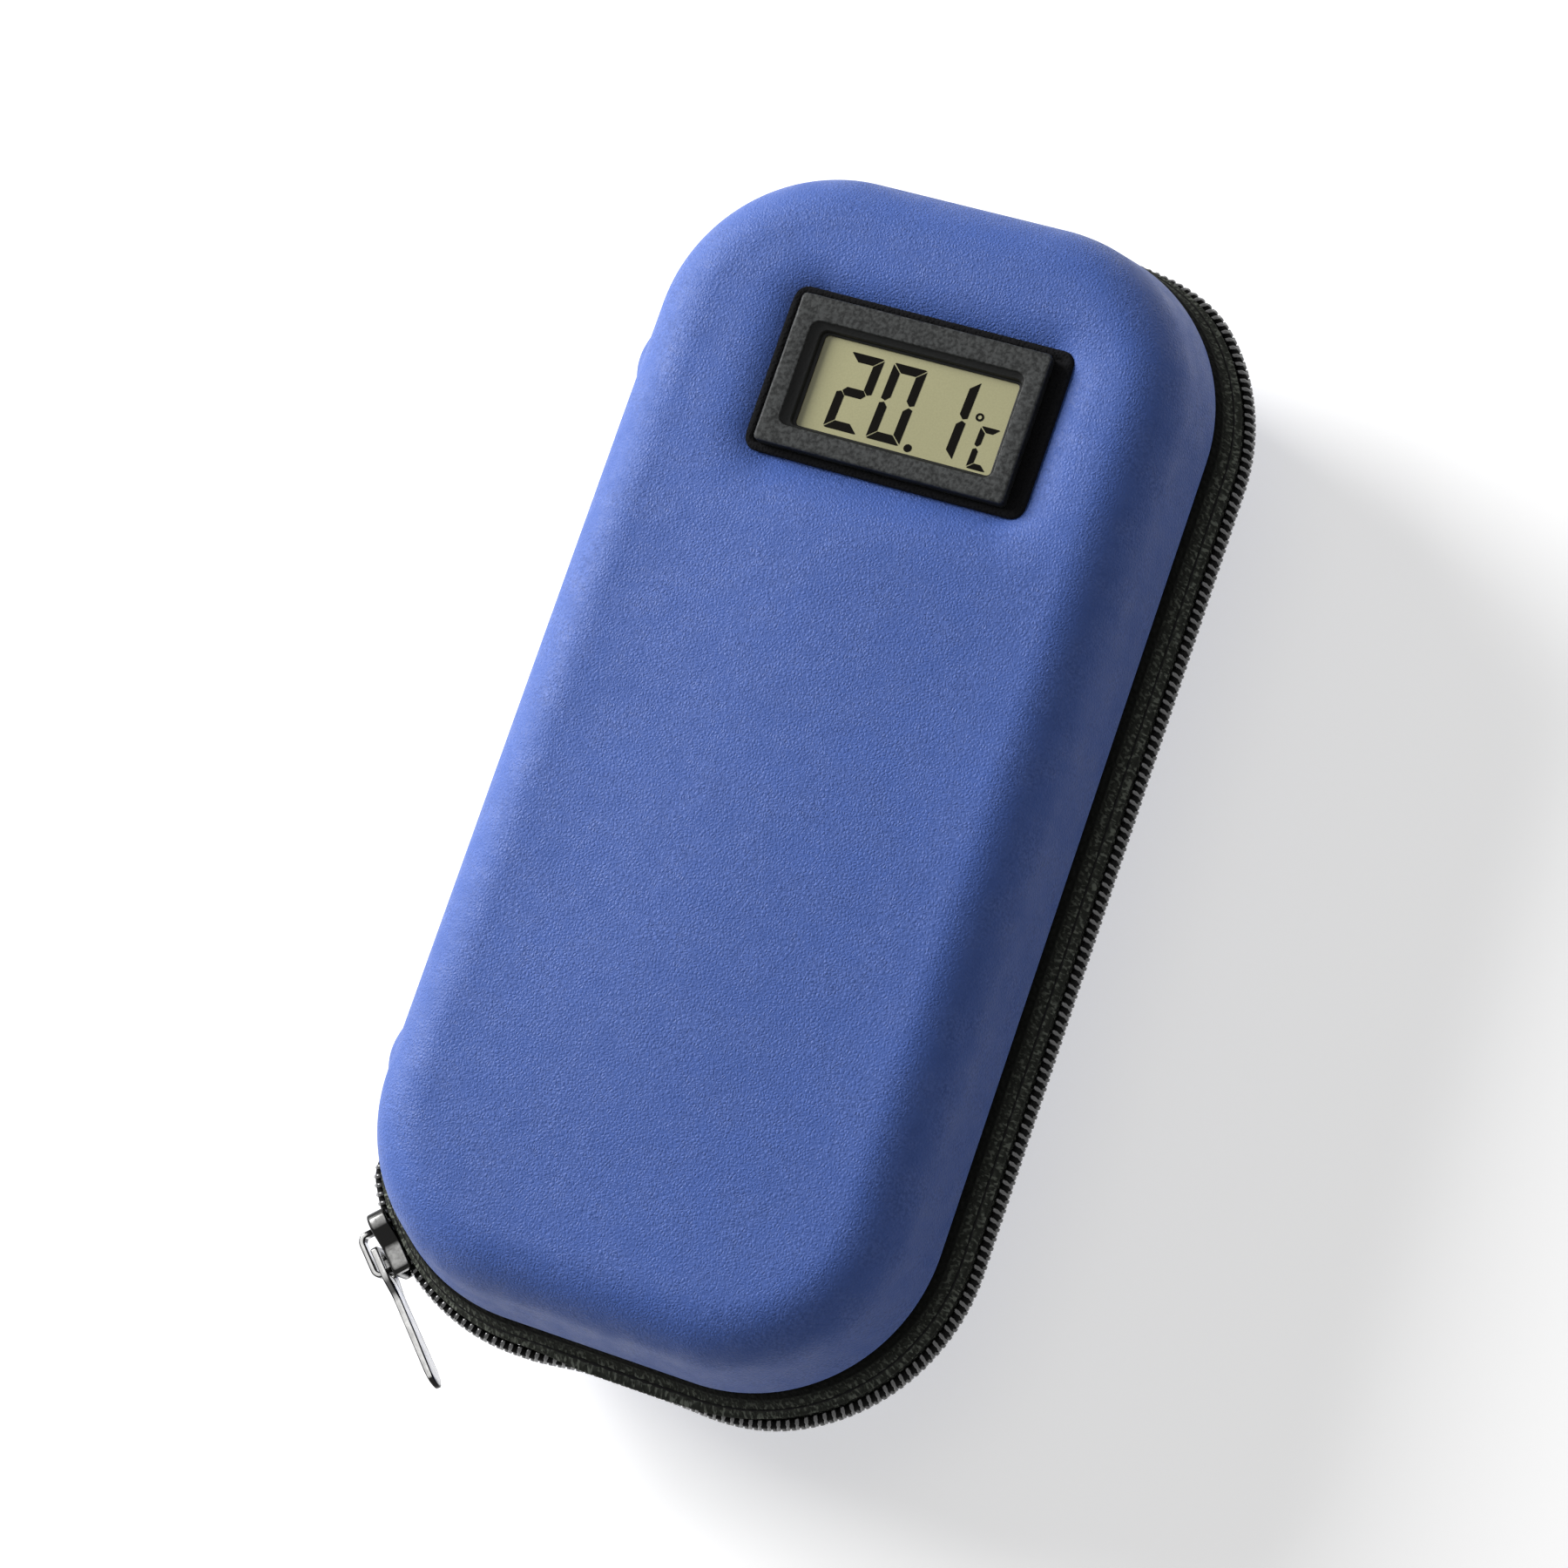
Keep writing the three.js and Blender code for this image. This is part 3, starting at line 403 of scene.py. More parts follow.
@dataclass(frozen=True)
class Elastic(Finish):
    """Woven elastic: ribs across the band with fine yarns along it."""

    def pattern(self, board: Board) -> None:
        """Ribs and yarns from the surface's own coordinates.

        Args:
            board: the material's nodes.
        """
        surface = board.coords(Space.SURFACE)
        ribs = board.bands(surface, 115.0, "X", 0.3)
        yarns = board.bands(surface, 260.0, "Y", 0.5)
        fuzz = board.spread(board.noise(board.coords(Space.OBJECT), 2400.0), 0.0, 0.5, 0.5, 0.75)
        height = board.calc("ADD", ribs, board.times(yarns, 0.5))
        board.dress({
            "Base Color": board.blend(fuzz, self.tones(board, ribs, 0.5, 1.6), self.tone(4.0)),
            "Normal": board.relief(height, 0.2, 0.8)})


@dataclass(frozen=True)
class PlatedMetal(Finish):
    """Plated metal: tumbled surface with wiped streaks and small dings."""

    contrast: float = 0.2
    # Share of the tone left on rounded edges as a painted dark reflection; 1 paints none.
    rim: float = 1.0

    def pattern(self, board: Board) -> None:
        """Fine tumbling grain, streaks along one axis, and duller hollows.

        The tone falls to the rim's share where the piece's level is low, so that rounded
        edges are dark: a painted dark reflection on them.

        Args:
            board: the material's nodes.
        """
        where = board.coords(Space.OBJECT)
        streak = board.noise(board.coords(Space.OBJECT, (1.0, 1.0, 9.0)), 420.0)
        grain = board.noise(where, 1500.0, 4.0)
        dings = board.spread(board.cells(where, 320.0), 0.0, 1.0, 0.0, 0.25)
        plate = self.tones(board, board.spread(grain, 0.0, 1.0, 0.35, 0.6),
                           1 - self.contrast, 1 + self.contrast / 2)
        # Painted dark reflection: rounded edges, where the level is low, take a darker tone.
        if self.rim < 1:
            level = board.node("ShaderNodeAttribute", {}, attribute_name="level").outputs["Fac"]
            flat = board.spread(level, 0.0, 1.0, 0.86, 1.0)
            plate = board.blend(flat, self.tone(self.rim), plate)
        board.dress({
            "Base Color": plate, "Roughness": self.uneven(board, streak, 0.1, 0.14),
            "Normal": board.relief(grain, 0.05, 0.4, board.relief(dings, 0.05, 0.35))})


@dataclass(frozen=True)
class GelFilm(Finish):
    """Film pouch: creases in the film over pale gel, with small bubbles."""

    bubble: Quad = (0.86, 0.93, 1.0, 1.0)

    def pattern(self, board: Board) -> None:
        """Creases from stretched noise, bubbles as pale spots.

        Args:
            board: the material's nodes.
        """
        crease = board.noise(board.coords(Space.OBJECT, (1.0, 0.5, 1.0)), 170.0, 5.0)
        spots = board.spread(board.cells(board.coords(Space.OBJECT), 150.0), 1.0, 0.0, 0.04, 0.2)
        tone = self.tones(board, crease, 0.82, 1.12)
        board.dress({
            "Base Color": board.blend(board.times(spots, 0.5), tone, self.bubble),
            "Roughness": board.spread(crease, 0.12, 0.34, 0.3, 0.7),
            "Normal": board.relief(crease, 1.1, 0.5)})


@dataclass(frozen=True)
class SparkPlastic(Finish):
    """Plastic from a spark-eroded mould: even fine pits, a little polished by handling.

    Below a height, a z in metres just under the frame's top face, painted shade darkens the
    colour, in the window's recess and on the frame's sides.
    """

    depth: float = 0.07
    # Height in metres below which painted shade darkens the colour.
    shade_line: float = 0.0668

    def pattern(self, board: Board) -> None:
        """Dense fine noise for relief, slow noise for the polish, height for the dark part.

        Args:
            board: the material's nodes.
        """
        where = board.coords(Space.OBJECT)
        pits = board.noise(where, 1500.0, 5.0)
        speckled = self.tones(board, board.spread(pits, 0.0, 1.0, 0.38, 0.62), 0.5, 1.5)
        # Painted shade: the colour darkens below a height just under the frame's top face.
        unshaded = board.spread(board.axis(where, "Z"), 0.0, 1.0,
                                self.shade_line - 0.0002, self.shade_line)
        board.dress({
            "Base Color": board.blend(unshaded, self.tone(0.3), speckled),
            "Roughness": self.uneven(board, board.noise(where, 120.0, 2.0), 0.08, 0.1),
            "Normal": board.relief(pits, self.depth, 0.7)})


@dataclass(frozen=True)
class CrystalGlass(Finish):
    """Reflective liquid crystal panel: faint grain of the rear reflector below clear glass."""

    def pattern(self, board: Board) -> None:
        """Slow tint and a very fine reflector grain in the colour alone.

        Args:
            board: the material's nodes.
        """
        where = board.coords(Space.OBJECT)
        grain = board.spread(board.noise(where, 3300.0), 0.0, 0.35, 0.35, 0.7)
        tone = self.tones(board, board.noise(where, 45.0, 2.0), 0.92, 1.07)
        board.dress({"Base Color": board.blend(grain, tone, self.tone(0.75))})


@dataclass(frozen=True)
class CircuitBoard(Finish):
    """Solder mask over traces."""

    def pattern(self, board: Board) -> None:
        """Square cells whose edges read as traces under the mask.

        Args:
            board: the material's nodes.
        """
        traces = board.node("ShaderNodeTexBrick", {
            "Vector": board.coords(Space.OBJECT), "Scale": 620.0, "Mortar Size": 0.04,
            "Color1": self.tone(0.85), "Color2": self.tone(1.0), "Mortar": self.tone(1.9)})
        board.dress({"Base Color": traces.outputs["Color"],
                     "Normal": board.relief(traces.outputs["Fac"], 0.05, 0.5)})


@dataclass(frozen=True)
class StripedRubber(Finish):
    """Silicone with conducting stripes across it."""

    def pattern(self, board: Board) -> None:
        """Bands along x, dark and pale.

        Args:
            board: the material's nodes.
        """
        stripes = board.bands(board.coords(Space.OBJECT), 900.0, "X")
        sharp = board.spread(stripes, 0.0, 1.0, 0.45, 0.55)
        board.dress({"Base Color": self.tones(board, sharp, 0.12, 1.0),
                     "Normal": board.relief(stripes, 0.04, 0.5)})


class Finishes:
    """Every finish of the case, made once."""

    def __init__(self) -> None:
        """Makes the materials."""
        self.blue_cloth = GrainedCloth("blue_grained_cloth", (0.065, 0.132, 0.44), 0.5,
                                       specular=0.28, depth=0.13).make()
        self.tape = WovenTape("black_woven_tape", (0.06, 0.065, 0.055), 0.9, specular=0.05).make()
        self.coil = Finish("black_nylon_coil", (0.02, 0.02, 0.021), 0.28,
                           specular=0.7, coat=0.5).make()
        # Black foam of the seal ring round the frame, which also stands as painted shadow.
        self.seal_and_shadow = CellFoam("black_seal_and_shadow_foam", (0.007, 0.007, 0.008), 0.95, specular=0.12).make()
        self.thread = Finish("black_thread", (0.016, 0.016, 0.016), 0.8, specular=0.06).make()
        self.nickel = PlatedMetal("nickel_plate", (0.28, 0.279, 0.274), 0.26, 1.0,
                                  contrast=0.22, rim=0.06).make()
        self.bright_nickel = PlatedMetal("bright_nickel_plate", (0.62, 0.618, 0.61), 0.2, 1.0,
                                         contrast=0.1, rim=0.03).make()
        self.lining = Knit("dark_knit_lining", (0.025, 0.027, 0.034), 0.92, sheen=0.15).make()
        self.foam = CellFoam("grey_foam", (0.045, 0.05, 0.06), 0.95).make()
        self.elastic = Elastic("black_elastic", (0.012, 0.012, 0.013), 0.85, sheen=0.1).make()
        self.net = Knit("black_pocket_net", (0.013, 0.013, 0.014), 0.85, loop=700.0).make()
        self.gel = GelFilm("gel_film", (0.42, 0.62, 0.8), 0.25, coat=0.6).make()
        self.bezel = SparkPlastic("bezel_plastic", (0.044, 0.046, 0.046), 0.45,
                                  specular=0.12, depth=0.14).make()
        self.glass = CrystalGlass("crystal_glass", (0.418, 0.4, 0.224), 0.2, specular=0.3).make()
        self.ink = Finish("crystal_segment", (0.004, 0.0035, 0.0025), 0.6,
                          specular=0.04, mottling=0.05).make()
        self.mask = CircuitBoard("solder_mask", (0.012, 0.1, 0.035), 0.4).make()
        self.rubber = StripedRubber("striped_silicone", (0.45, 0.44, 0.42), 0.7).make()
        self.brass = PlatedMetal("contact_brass", (0.5, 0.33, 0.08), 0.32, 1.0).make()
        self.steel = PlatedMetal("cell_steel", (0.6, 0.6, 0.6), 0.28, 1.0).make()


# Surfaces and pieces


def run_lengths(line: np.ndarray) -> np.ndarray:
    """Lengths along a line from its first point to each point, and on to the first again."""
    legs = np.diff(np.concatenate([line, line[:1]]), axis=0)
    return np.concatenate([[0.0], np.cumsum(np.linalg.norm(legs, axis=1))])


def signed_volume(verts: np.ndarray, quads: np.ndarray, others: Faces) -> float:
    """Six times the volume inside the faces, above zero where they point outwards.

    Each face is a fan of triangles from its first corner, and a triangle adds that corner
    times the cross product of its other two.

    Args:
        verts: vertices.
        quads: four-sided faces.
        others: the other faces.

    Returns:
        The sum over all triangles.
    """
    total = 0.0
    for group in [quads, *([face] for face in others)]:
        corner = verts[np.asarray(group)]
        cross = np.cross(corner[:, 1:-1], corner[:, 2:])
        total += float(np.einsum("ik,ijk->", corner[:, 0], cross))
    return total


@dataclass
class Skin:
    """A surface on a grid: rings of points, each ring closed on itself, one after another.

    The point at ring i and step j is points[i, j], in millimetres in the row frame. Onwards
    gives the rings' surface coordinates, where the distances between them don't serve.
    """

    points: np.ndarray
    closed: bool = False
    ends: End = End.FLAT
    onwards: np.ndarray | None = None

    def faces(self) -> tuple[np.ndarray, np.ndarray, Faces, np.ndarray]:
        """Works out vertices and faces that point outwards.

        Ring i joins ring i + 1 by four-sided faces; the last joins the first where the surface
        is closed. A flat end is one face, and a pointed end is a fan to the ring's middle.

        Returns:
            Vertices, four-sided faces, the other faces, and the surface coordinates of the
            four-sided faces' corners.
        """
        rings, steps = self.points.shape[:2]
        verts = self.points.reshape(-1, 3)
        rows = np.arange(rings if self.closed else rings - 1)
        near, far = rows[:, None] * steps, (rows[:, None] + 1) % rings * steps
        here = np.arange(steps)[None, :]
        beside = (here + 1) % steps
        quads = np.stack([near + here, near + beside, far + beside, far + here], -1).reshape(-1, 4)
        around = run_lengths(self.points[0])
        onwards = run_lengths(self.points[:, 0]) if self.onwards is None else self.onwards
        corners = [np.broadcast_arrays(onwards[rows + i][:, None], around[None, j:j + steps])
                   for i, j in ((0, 0), (0, 1), (1, 1), (1, 0))]
        marks = np.stack([np.stack(pair, -1) for pair in corners], 2).reshape(-1, 2) * MM
        others: Faces = []
        for ring, turn in () if self.closed else ((0, -1), (rings - 1, 1)):
            members = ring * steps + np.arange(steps)
            if self.ends is End.FLAT:
                others.append(members[::turn].tolist())
            else:
                fan = np.stack([members, np.roll(members, -1), np.full(steps, len(verts))], 1)
                others.extend(fan[:, [1, 0, 2] if turn < 0 else [0, 1, 2]].tolist())
                verts = np.concatenate([verts, self.points[ring].mean(0, keepdims=True)])
        if signed_volume(verts, quads, others) < 0:
            quads = quads[:, ::-1]
            marks = marks.reshape(-1, 4, 2)[:, ::-1].reshape(-1, 2)
            others = [face[::-1] for face in others]
        return verts, quads, others, marks


def to_mesh(name: str, verts: np.ndarray, faces: Faces) -> bpy.types.Mesh:
    """Makes a mesh from vertices in millimetres.

    Args:
        name: the mesh's name.
        verts: its vertices.
        faces: its faces.

    Returns:
        The mesh, in metres.
    """
    mesh = bpy.data.meshes.new(name)
    mesh.from_pydata((verts * MM).tolist(), [], faces)
    return mesh


def put(name: str, data: bpy.types.ID) -> bpy.types.Object:
    """Puts data into the scene.

    Args:
        name: the object's name.
        data: its mesh, lamp or camera.

    Returns:
        The object.
    """
    made = bpy.data.objects.new(name, data)
    bpy.context.scene.collection.objects.link(made)
    return made


def settled(pad: bpy.types.Object) -> tuple[bpy.types.Mesh, np.ndarray]:
    """Makes a mesh of an object as its modifiers leave it.

    Args:
        pad: the object.

    Returns:
        The mesh, and its points in millimetres.
    """
    graph = bpy.context.evaluated_depsgraph_get()
    mesh = bpy.data.meshes.new_from_object(pad.evaluated_get(graph))
    flat = np.empty(3 * len(mesh.vertices))
    mesh.vertices.foreach_get("co", flat)
    return mesh, flat.reshape(-1, 3) / MM


def swollen(skin: Skin, levels: Pair) -> tuple[np.ndarray, np.ndarray]:
    """Swells a closed pad by Blender's cloth simulation, under even pressure, without gravity.

    The pad is remeshed evenly and simulated. A point's move is scaled down where it is longer
    than the reach, and its height stays between the levels.

    Args:
        skin: the pad before it swells, in millimetres.
        levels: the lowest and the highest z, in millimetres.

    Returns:
        Vertices in millimetres, and four-sided faces that point outwards.
    """
    verts, quads, others, _ = skin.faces()
    mesh = to_mesh("pad_start", verts, quads.tolist() + others)
    pad = put("pad_start", mesh)
    voxels = pad.modifiers.new("voxels", "REMESH")
    voxels.mode = "VOXEL"
    voxels.voxel_size = PAD_VOXEL * MM
    even, start = settled(pad)
    pad.modifiers.clear()
    pad.data = even
    cloth = pad.modifiers.new("film", "CLOTH")
    cloth.settings.use_pressure = True
    cloth.settings.uniform_pressure_force = PAD_PRESSURE
    cloth.settings.effector_weights.gravity = 0.0
    for step in range(PAD_FRAMES):
        bpy.context.scene.frame_set(step + 1)
    full, end = settled(pad)
    move = end - start
    length = np.linalg.norm(move, axis=1, keepdims=True)
    verts = start + move * np.minimum(1.0, PAD_REACH / np.maximum(length, 1e-9))
    verts[:, 2] = np.clip(verts[:, 2], *levels)
    quads = np.array([list(polygon.vertices) for polygon in even.polygons])
    if signed_volume(verts, quads, []) < 0:
        quads = quads[:, ::-1]
    log.info("pad swelled by %.2f mm on average", float(np.minimum(length, PAD_REACH).mean()))
    bpy.data.objects.remove(pad)
    for used in (mesh, even, full):
        bpy.data.meshes.remove(used)
    bpy.context.scene.frame_set(1)
    return verts, quads


@dataclass(frozen=True)
class Piece:
    """One piece of the scene: what it is called and made of, rides on and stands for.

    It lies at the origin, with its place in its mesh. The body is None where the piece rides on
    no single body. Smooth says whether shading runs over the edges.
    """

    name: str
    finish: bpy.types.Material
    slot: str
    body: str | None
    replaced: list[str]
    smooth: bool = True

    def solid(self, verts: np.ndarray, faces: Faces, marks: np.ndarray) -> bpy.types.Object:
        """Makes the piece from vertices and faces.

        The attribute level is 1 where the surface is square to the slider's axes, which are z
        and the two diagonals, and less on rounded edges: the largest square of the normal
        along one. Plated metal darkens its colour where the level is low, as a painted dark
        reflection on rounded edges.

        Args:
            verts: vertices in millimetres.
            faces: their faces, pointing outwards.
            marks: surface coordinates of the faces' corners, in metres.

        Returns:
            The object.
        """
        mesh = to_mesh(self.name, verts, faces)
        layer = mesh.uv_layers.new(name="surface")
        layer.data.foreach_set("uv", marks.astype(np.float32).ravel())
        mesh.polygons.foreach_set("use_smooth", np.full(len(mesh.polygons), self.smooth))
        mesh.materials.append(self.finish)
        mesh.update()
        normals = np.empty(3 * len(mesh.vertices), np.float32)
        mesh.vertex_normals.foreach_get("vector", normals)
        east, north, up = normals.reshape(-1, 3).T
        diagonal = np.maximum((east + north) ** 2, (east - north) ** 2) / 2
        level = mesh.attributes.new("level", "FLOAT", "POINT")
        level.data.foreach_set("value", np.maximum(up ** 2, diagonal))
        piece = put(self.name, mesh)
        if self.body is not None:
            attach(piece, self.body)
        if self.replaced:
            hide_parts(*self.replaced)
        log.info("%s: %d faces", self.name, len(mesh.polygons))
        return piece

    def cover(self, *skins: Skin) -> bpy.types.Object:
        """Makes the piece from one or more closed surfaces.

        Args:
            *skins: the surfaces.

        Returns:
            The object.
        """
        all_verts, all_faces, all_marks = [], [], []
        first = 0
        for skin in skins:
            verts, quads, others, marks = skin.faces()
            all_faces += (quads + first).tolist()
            all_faces += [[index + first for index in face] for face in others]
            all_marks += [marks, *(verts[face][:, :2] * MM for face in others)]
            all_verts.append(verts)
            first += len(verts)
        return self.solid(np.concatenate(all_verts), all_faces, np.concatenate(all_marks))

    def pad(self, skin: Skin, levels: Pair) -> bpy.types.Object:
        """Makes the piece swelled and subdivided.

        Args:
            skin: the pad before it swells.
            levels: the lowest and the highest z, in millimetres.

        Returns:
            The object.
        """
        verts, quads = swollen(skin, levels)
        piece = self.solid(verts, quads.tolist(), verts[quads.ravel()][:, :2] * MM)
        rounding = piece.modifiers.new("rounding", "SUBSURF")
        rounding.levels = rounding.render_levels = 1
        return piece


def fillet(corners: np.ndarray, radii: float | np.ndarray, steps: int = 4,
           closed: bool = True) -> np.ndarray:
    """Rounds the corners of a line in a plane.

    Each corner gives way to a curve that leaves one side a radius away from it and meets the
    other side a radius away: the point is (1 - t)^2 start + 2 t (1 - t) corner + t^2 end.

    Args:
        corners: the corners, two numbers each.
        radii: how far from each corner the curve starts, at most 0.45 of the shorter side.
        steps: points on each curve beyond the first.
        closed: whether the last corner joins the first.

    Returns:
        The points of the rounded line.
    """
    corners = np.asarray(corners, float)
    before = np.roll(corners, 1, 0) - corners
    after = np.roll(corners, -1, 0) - corners
    back = np.linalg.norm(before, axis=1)
    on = np.linalg.norm(after, axis=1)
    reach = np.minimum(radii, 0.45 * np.minimum(back, on))
    if not closed:
        reach[[0, -1]] = 0.0
    start = corners + before * (reach / back)[:, None]
    end = corners + after * (reach / on)[:, None]
    t = np.linspace(0.0, 1.0, steps + 1)[None, :, None]
    curve = ((1 - t) ** 2 * start[:, None] + 2 * t * (1 - t) * corners[:, None]
             + t ** 2 * end[:, None])
    return np.concatenate([curve[i] if reach[i] > 0 else corners[i:i + 1]
                           for i in range(len(corners))])


def layers(flat: np.ndarray, levels: np.ndarray | list[float]) -> np.ndarray:
    """Lays flat rings one above another.

    Args:
        flat: one outline for all levels, or one for each.
        levels: the third coordinate of each ring.

    Returns:
        An array of rings by points by three.
    """
    flat = np.broadcast_to(flat, (len(levels), *flat.shape[-2:]))
    level = np.broadcast_to(np.reshape(levels, (-1, 1, 1)), (*flat.shape[:2], 1))
    return np.concatenate([flat, level], -1)


def boxes(sizes: list[Quad], centre: Pair, steps: int = 5) -> np.ndarray:
    """Rectangles with round corners, one above another.

    A corner is a quarter circle whose centre lies its radius inside both sides.

    Args:
        sizes: half width, half height, corner radius and z of each ring.
        centre: the middle of the rings.
        steps: points on each corner beyond the first.

    Returns:
        An array of rings by points by three.
    """
    half_x, half_y, corner, level = np.array(sizes, float).T[:, :, None, None]
    angle = (np.arange(4)[:, None] + np.linspace(0, 1, steps + 1)[None, :]) * math.pi / 2
    x = np.array([1, -1, -1, 1])[:, None] * (half_x - corner) + corner * np.cos(angle)
    y = np.array([1, 1, -1, -1])[:, None] * (half_y - corner) + corner * np.sin(angle)
    flat = np.stack([x, y], -1).reshape(len(sizes), -1, 2)
    return layers(flat + np.array(centre), level.ravel())


def slab(across: np.ndarray, place: np.ndarray, top: np.ndarray, low: np.ndarray) -> Skin:
    """A sheet of rows across the case: each runs over its top and back along its underside.

    Args:
        across: x of the points of each row.
        place: y of the rows.
        top: z of the upper face.
        low: z of the lower face.

    Returns:
        The skin.
    """
    x = np.concatenate([across, across[..., ::-1]], -1)
    level = np.concatenate([top, low[:, ::-1]], 1)
    x, y = np.broadcast_arrays(x, place[:, None])
    return Skin(np.stack([x, y, level], -1))


def swept(path: np.ndarray, section: np.ndarray, wide: Triple) -> Skin:
    """Carries a flat section along a path.

    At each point of the path the section's first axis lies along wide and its second along
    the cross product of the path's direction and wide.

    Args:
        path: points by three.
        section: points by two.
        wide: a direction square to the path.

    Returns:
        The skin.
    """
    tangent = np.gradient(path, axis=0)
    tangent /= np.linalg.norm(tangent, axis=1, keepdims=True)
    third = np.cross(tangent, wide)
    return Skin(path[:, None] + section[:, :1] * np.array(wide) + section[:, 1:] * third[:, None])


# The case's own lines


@dataclass(frozen=True)
class Outline:
    """The zip line: a rectangle with round corners, run from the spine's foot end round the zip."""

    width: float = 118.0
    length: float = 230.0
    corner: float = 40.5

    @property
    def middle(self) -> Pair:
        """Where the corner centres lie, as half distances in x and y."""
        return self.width / 2 - self.corner, self.length / 2 - self.corner

    @property
    def legs(self) -> np.ndarray:
        """Lengths of the eight legs: a corner and a straight in turn, the spine side last."""
        arc, (x, y) = self.corner * math.pi / 2, self.middle
        return np.array([arc, 2 * x, arc, 2 * y, arc, 2 * x, arc, 2 * y])

    @property
    def run(self) -> float:
        """Length from one end of the spine round the zip to the other."""
        return float(self.legs[:7].sum())

    def at(self, distance: np.ndarray, inset: np.ndarray) -> np.ndarray:
        """Points at distances along the line, drawn in by insets.

        On a corner the point turns about the corner's centre at the corner radius less the
        inset; on a straight it moves on from there. Leg n starts at 2 and half of n + 1 right
        angles, rounded down.

        Args:
            distance: distances along the line.
            inset: how far inwards.

        Returns:
            x and y of each point.
        """
        ends = np.cumsum(self.legs)
        run = np.mod(distance, ends[-1])
        leg = np.clip(np.searchsorted(ends, run, side="right"), 0, 7)
        rest = run - (ends - self.legs)[leg]
        turning = leg % 2 == 0
        x, y = self.middle
        centre_x = np.where((leg > 1) & (leg < 6), x, -x)
        centre_y = np.where(leg > 3, y, -y)
        right_angles = 2 + (leg + 1) // 2
        angle = right_angles * math.pi / 2 + np.where(turning, rest / self.corner, 0.0)
        along = np.where(turning, 0.0, rest)
        radius = self.corner - inset
        return np.stack([centre_x + radius * np.cos(angle) - along * np.sin(angle),
                         centre_y + radius * np.sin(angle) + along * np.cos(angle)], -1)

    def ring(self, distance: np.ndarray, section: np.ndarray, side: Side) -> np.ndarray:
        """Rings of a section carried along the line.

        Args:
            distance: distances along the line.
            section: inset and rise of the section's points, the same at every distance or one
                section for each.
            side: the half of the case.

        Returns:
            An array of distances by section points by three.
        """
        section = np.broadcast_to(section, (len(distance), *section.shape[-2:]))
        along = np.broadcast_to(distance[:, None], section.shape[:2])
        level = ZIP_PLANE + side.value * section[..., 1:]
        return np.concatenate([self.at(along, section[..., 0]), level], -1)


OUTLINE = Outline()


@dataclass(frozen=True)
class Mould:
    """The moulded half: drafted wall, round edge, nearly flat top, and the thermometer's dish.

    The dish spreads to the left and below by dish_low, to the right and above by dish_high.
    """

    half_height: float = 33.0
    rim_inset: float = 5.6
    rim_rise: float = 11.5
    edge: float = 12.0
    draft: float = math.radians(12.5)
    crown: float = 0.9
    crown_half: float = 39.0
    crown_end: float = 95.0
    crown_fade: float = 45.0
    display: Pair = (2.0, 66.5)
    bezel: Pair = (24.0, 14.3)
    opening: Pair = (23.2, 13.4)
    dish_middle: Pair = (3.0, 66.5)
    dish_depth: float = 2.7
    dish_border: float = 1.9
    dish_corner: float = 5.0
    dish_low: Pair = (12.5, 16.0)
    dish_high: Pair = (14.0, 12.0)
    dish_power: float = 3.4

    def wall_inset(self, offset: float, rise: float) -> float:
        """Inset of the wall: offset over the draft's cosine, plus climb times its tangent."""
        foot = self.rim_inset + offset / math.cos(self.draft)
        return foot + (rise - self.rim_rise) * math.tan(self.draft)

    def profile(self, offset: float, wall_steps: int = 6, edge_steps: int = 12) -> np.ndarray:
        """Insets and rises from the rim up the wall and round the edge.

        The edge is an arc whose centre stays put, with the edge radius less the offset.

        Args:
            offset: how far inside the outer skin.
            wall_steps: rows on the wall.
            edge_steps: rows on the edge.

        Returns:
            Points by inset and rise.
        """
        centre_rise = self.half_height - self.edge
        tangent_rise = centre_rise + self.edge * math.sin(self.draft)
        centre_inset = self.wall_inset(0, tangent_rise) + self.edge * math.cos(self.draft)
        radius = self.edge - offset
        angle = np.linspace(self.draft, math.pi / 2, edge_steps + 1)
        arc = np.stack([centre_inset - radius * np.cos(angle),
                        centre_rise + radius * np.sin(angle)], -1)
        foot = np.array([self.wall_inset(offset, self.rim_rise), self.rim_rise])
        share = np.linspace(0, 1, wall_steps, endpoint=False)[:, None]
        return np.concatenate([foot + (arc[0] - foot) * share, arc])

    def dish(self, flat: np.ndarray) -> np.ndarray:
        """How deep the dish is at a point, from 0 outside it to 1 round the bezel.

        The distance is taken from a round-cornered rectangle, a border outside the bezel. The
        depth falls as a power of what is left of the spread, so it is steepest beside the
        border. The spreads of the sides are weighted by the squares of how far the point lies
        each way.

        Args:
            flat: x and y of the points.

        Returns:
            The shares of the depth.
        """
        here = flat - self.dish_middle
        spread = np.where(here < 0, self.dish_low, self.dish_high)
        away = np.maximum(np.abs(here) - self.bezel - self.dish_border + self.dish_corner, 0)
        far = np.maximum(np.hypot(away[..., 0], away[..., 1]), self.dish_corner)
        spread = np.maximum((spread * away ** 2).sum(-1) / far ** 2, 1.0)
        return (1 - np.clip((far - self.dish_corner) / spread, 0, 1)) ** self.dish_power

    def top(self, flat: np.ndarray, dished: bool) -> np.ndarray:
        """Rise of the outer skin over the middle: a low crown, less the dish.

        Args:
            flat: x and y of the points.
            dished: whether crown and dish are there.

        Returns:
            The rises.
        """
        if not dished:
            return np.full(flat.shape[:-1], self.half_height)
        across = np.clip(np.abs(flat[..., 0]) / self.crown_half, 0, 1)
        ends = ease(self.crown_end - np.abs(flat[..., 1]), 0.0, self.crown_fade)
        share = self.dish(flat)
        crown = self.crown * np.cos(across * math.pi / 2) ** 2 * ends
        return self.half_height + crown * (1 - share) - self.dish_depth * share


MOULD = Mould()


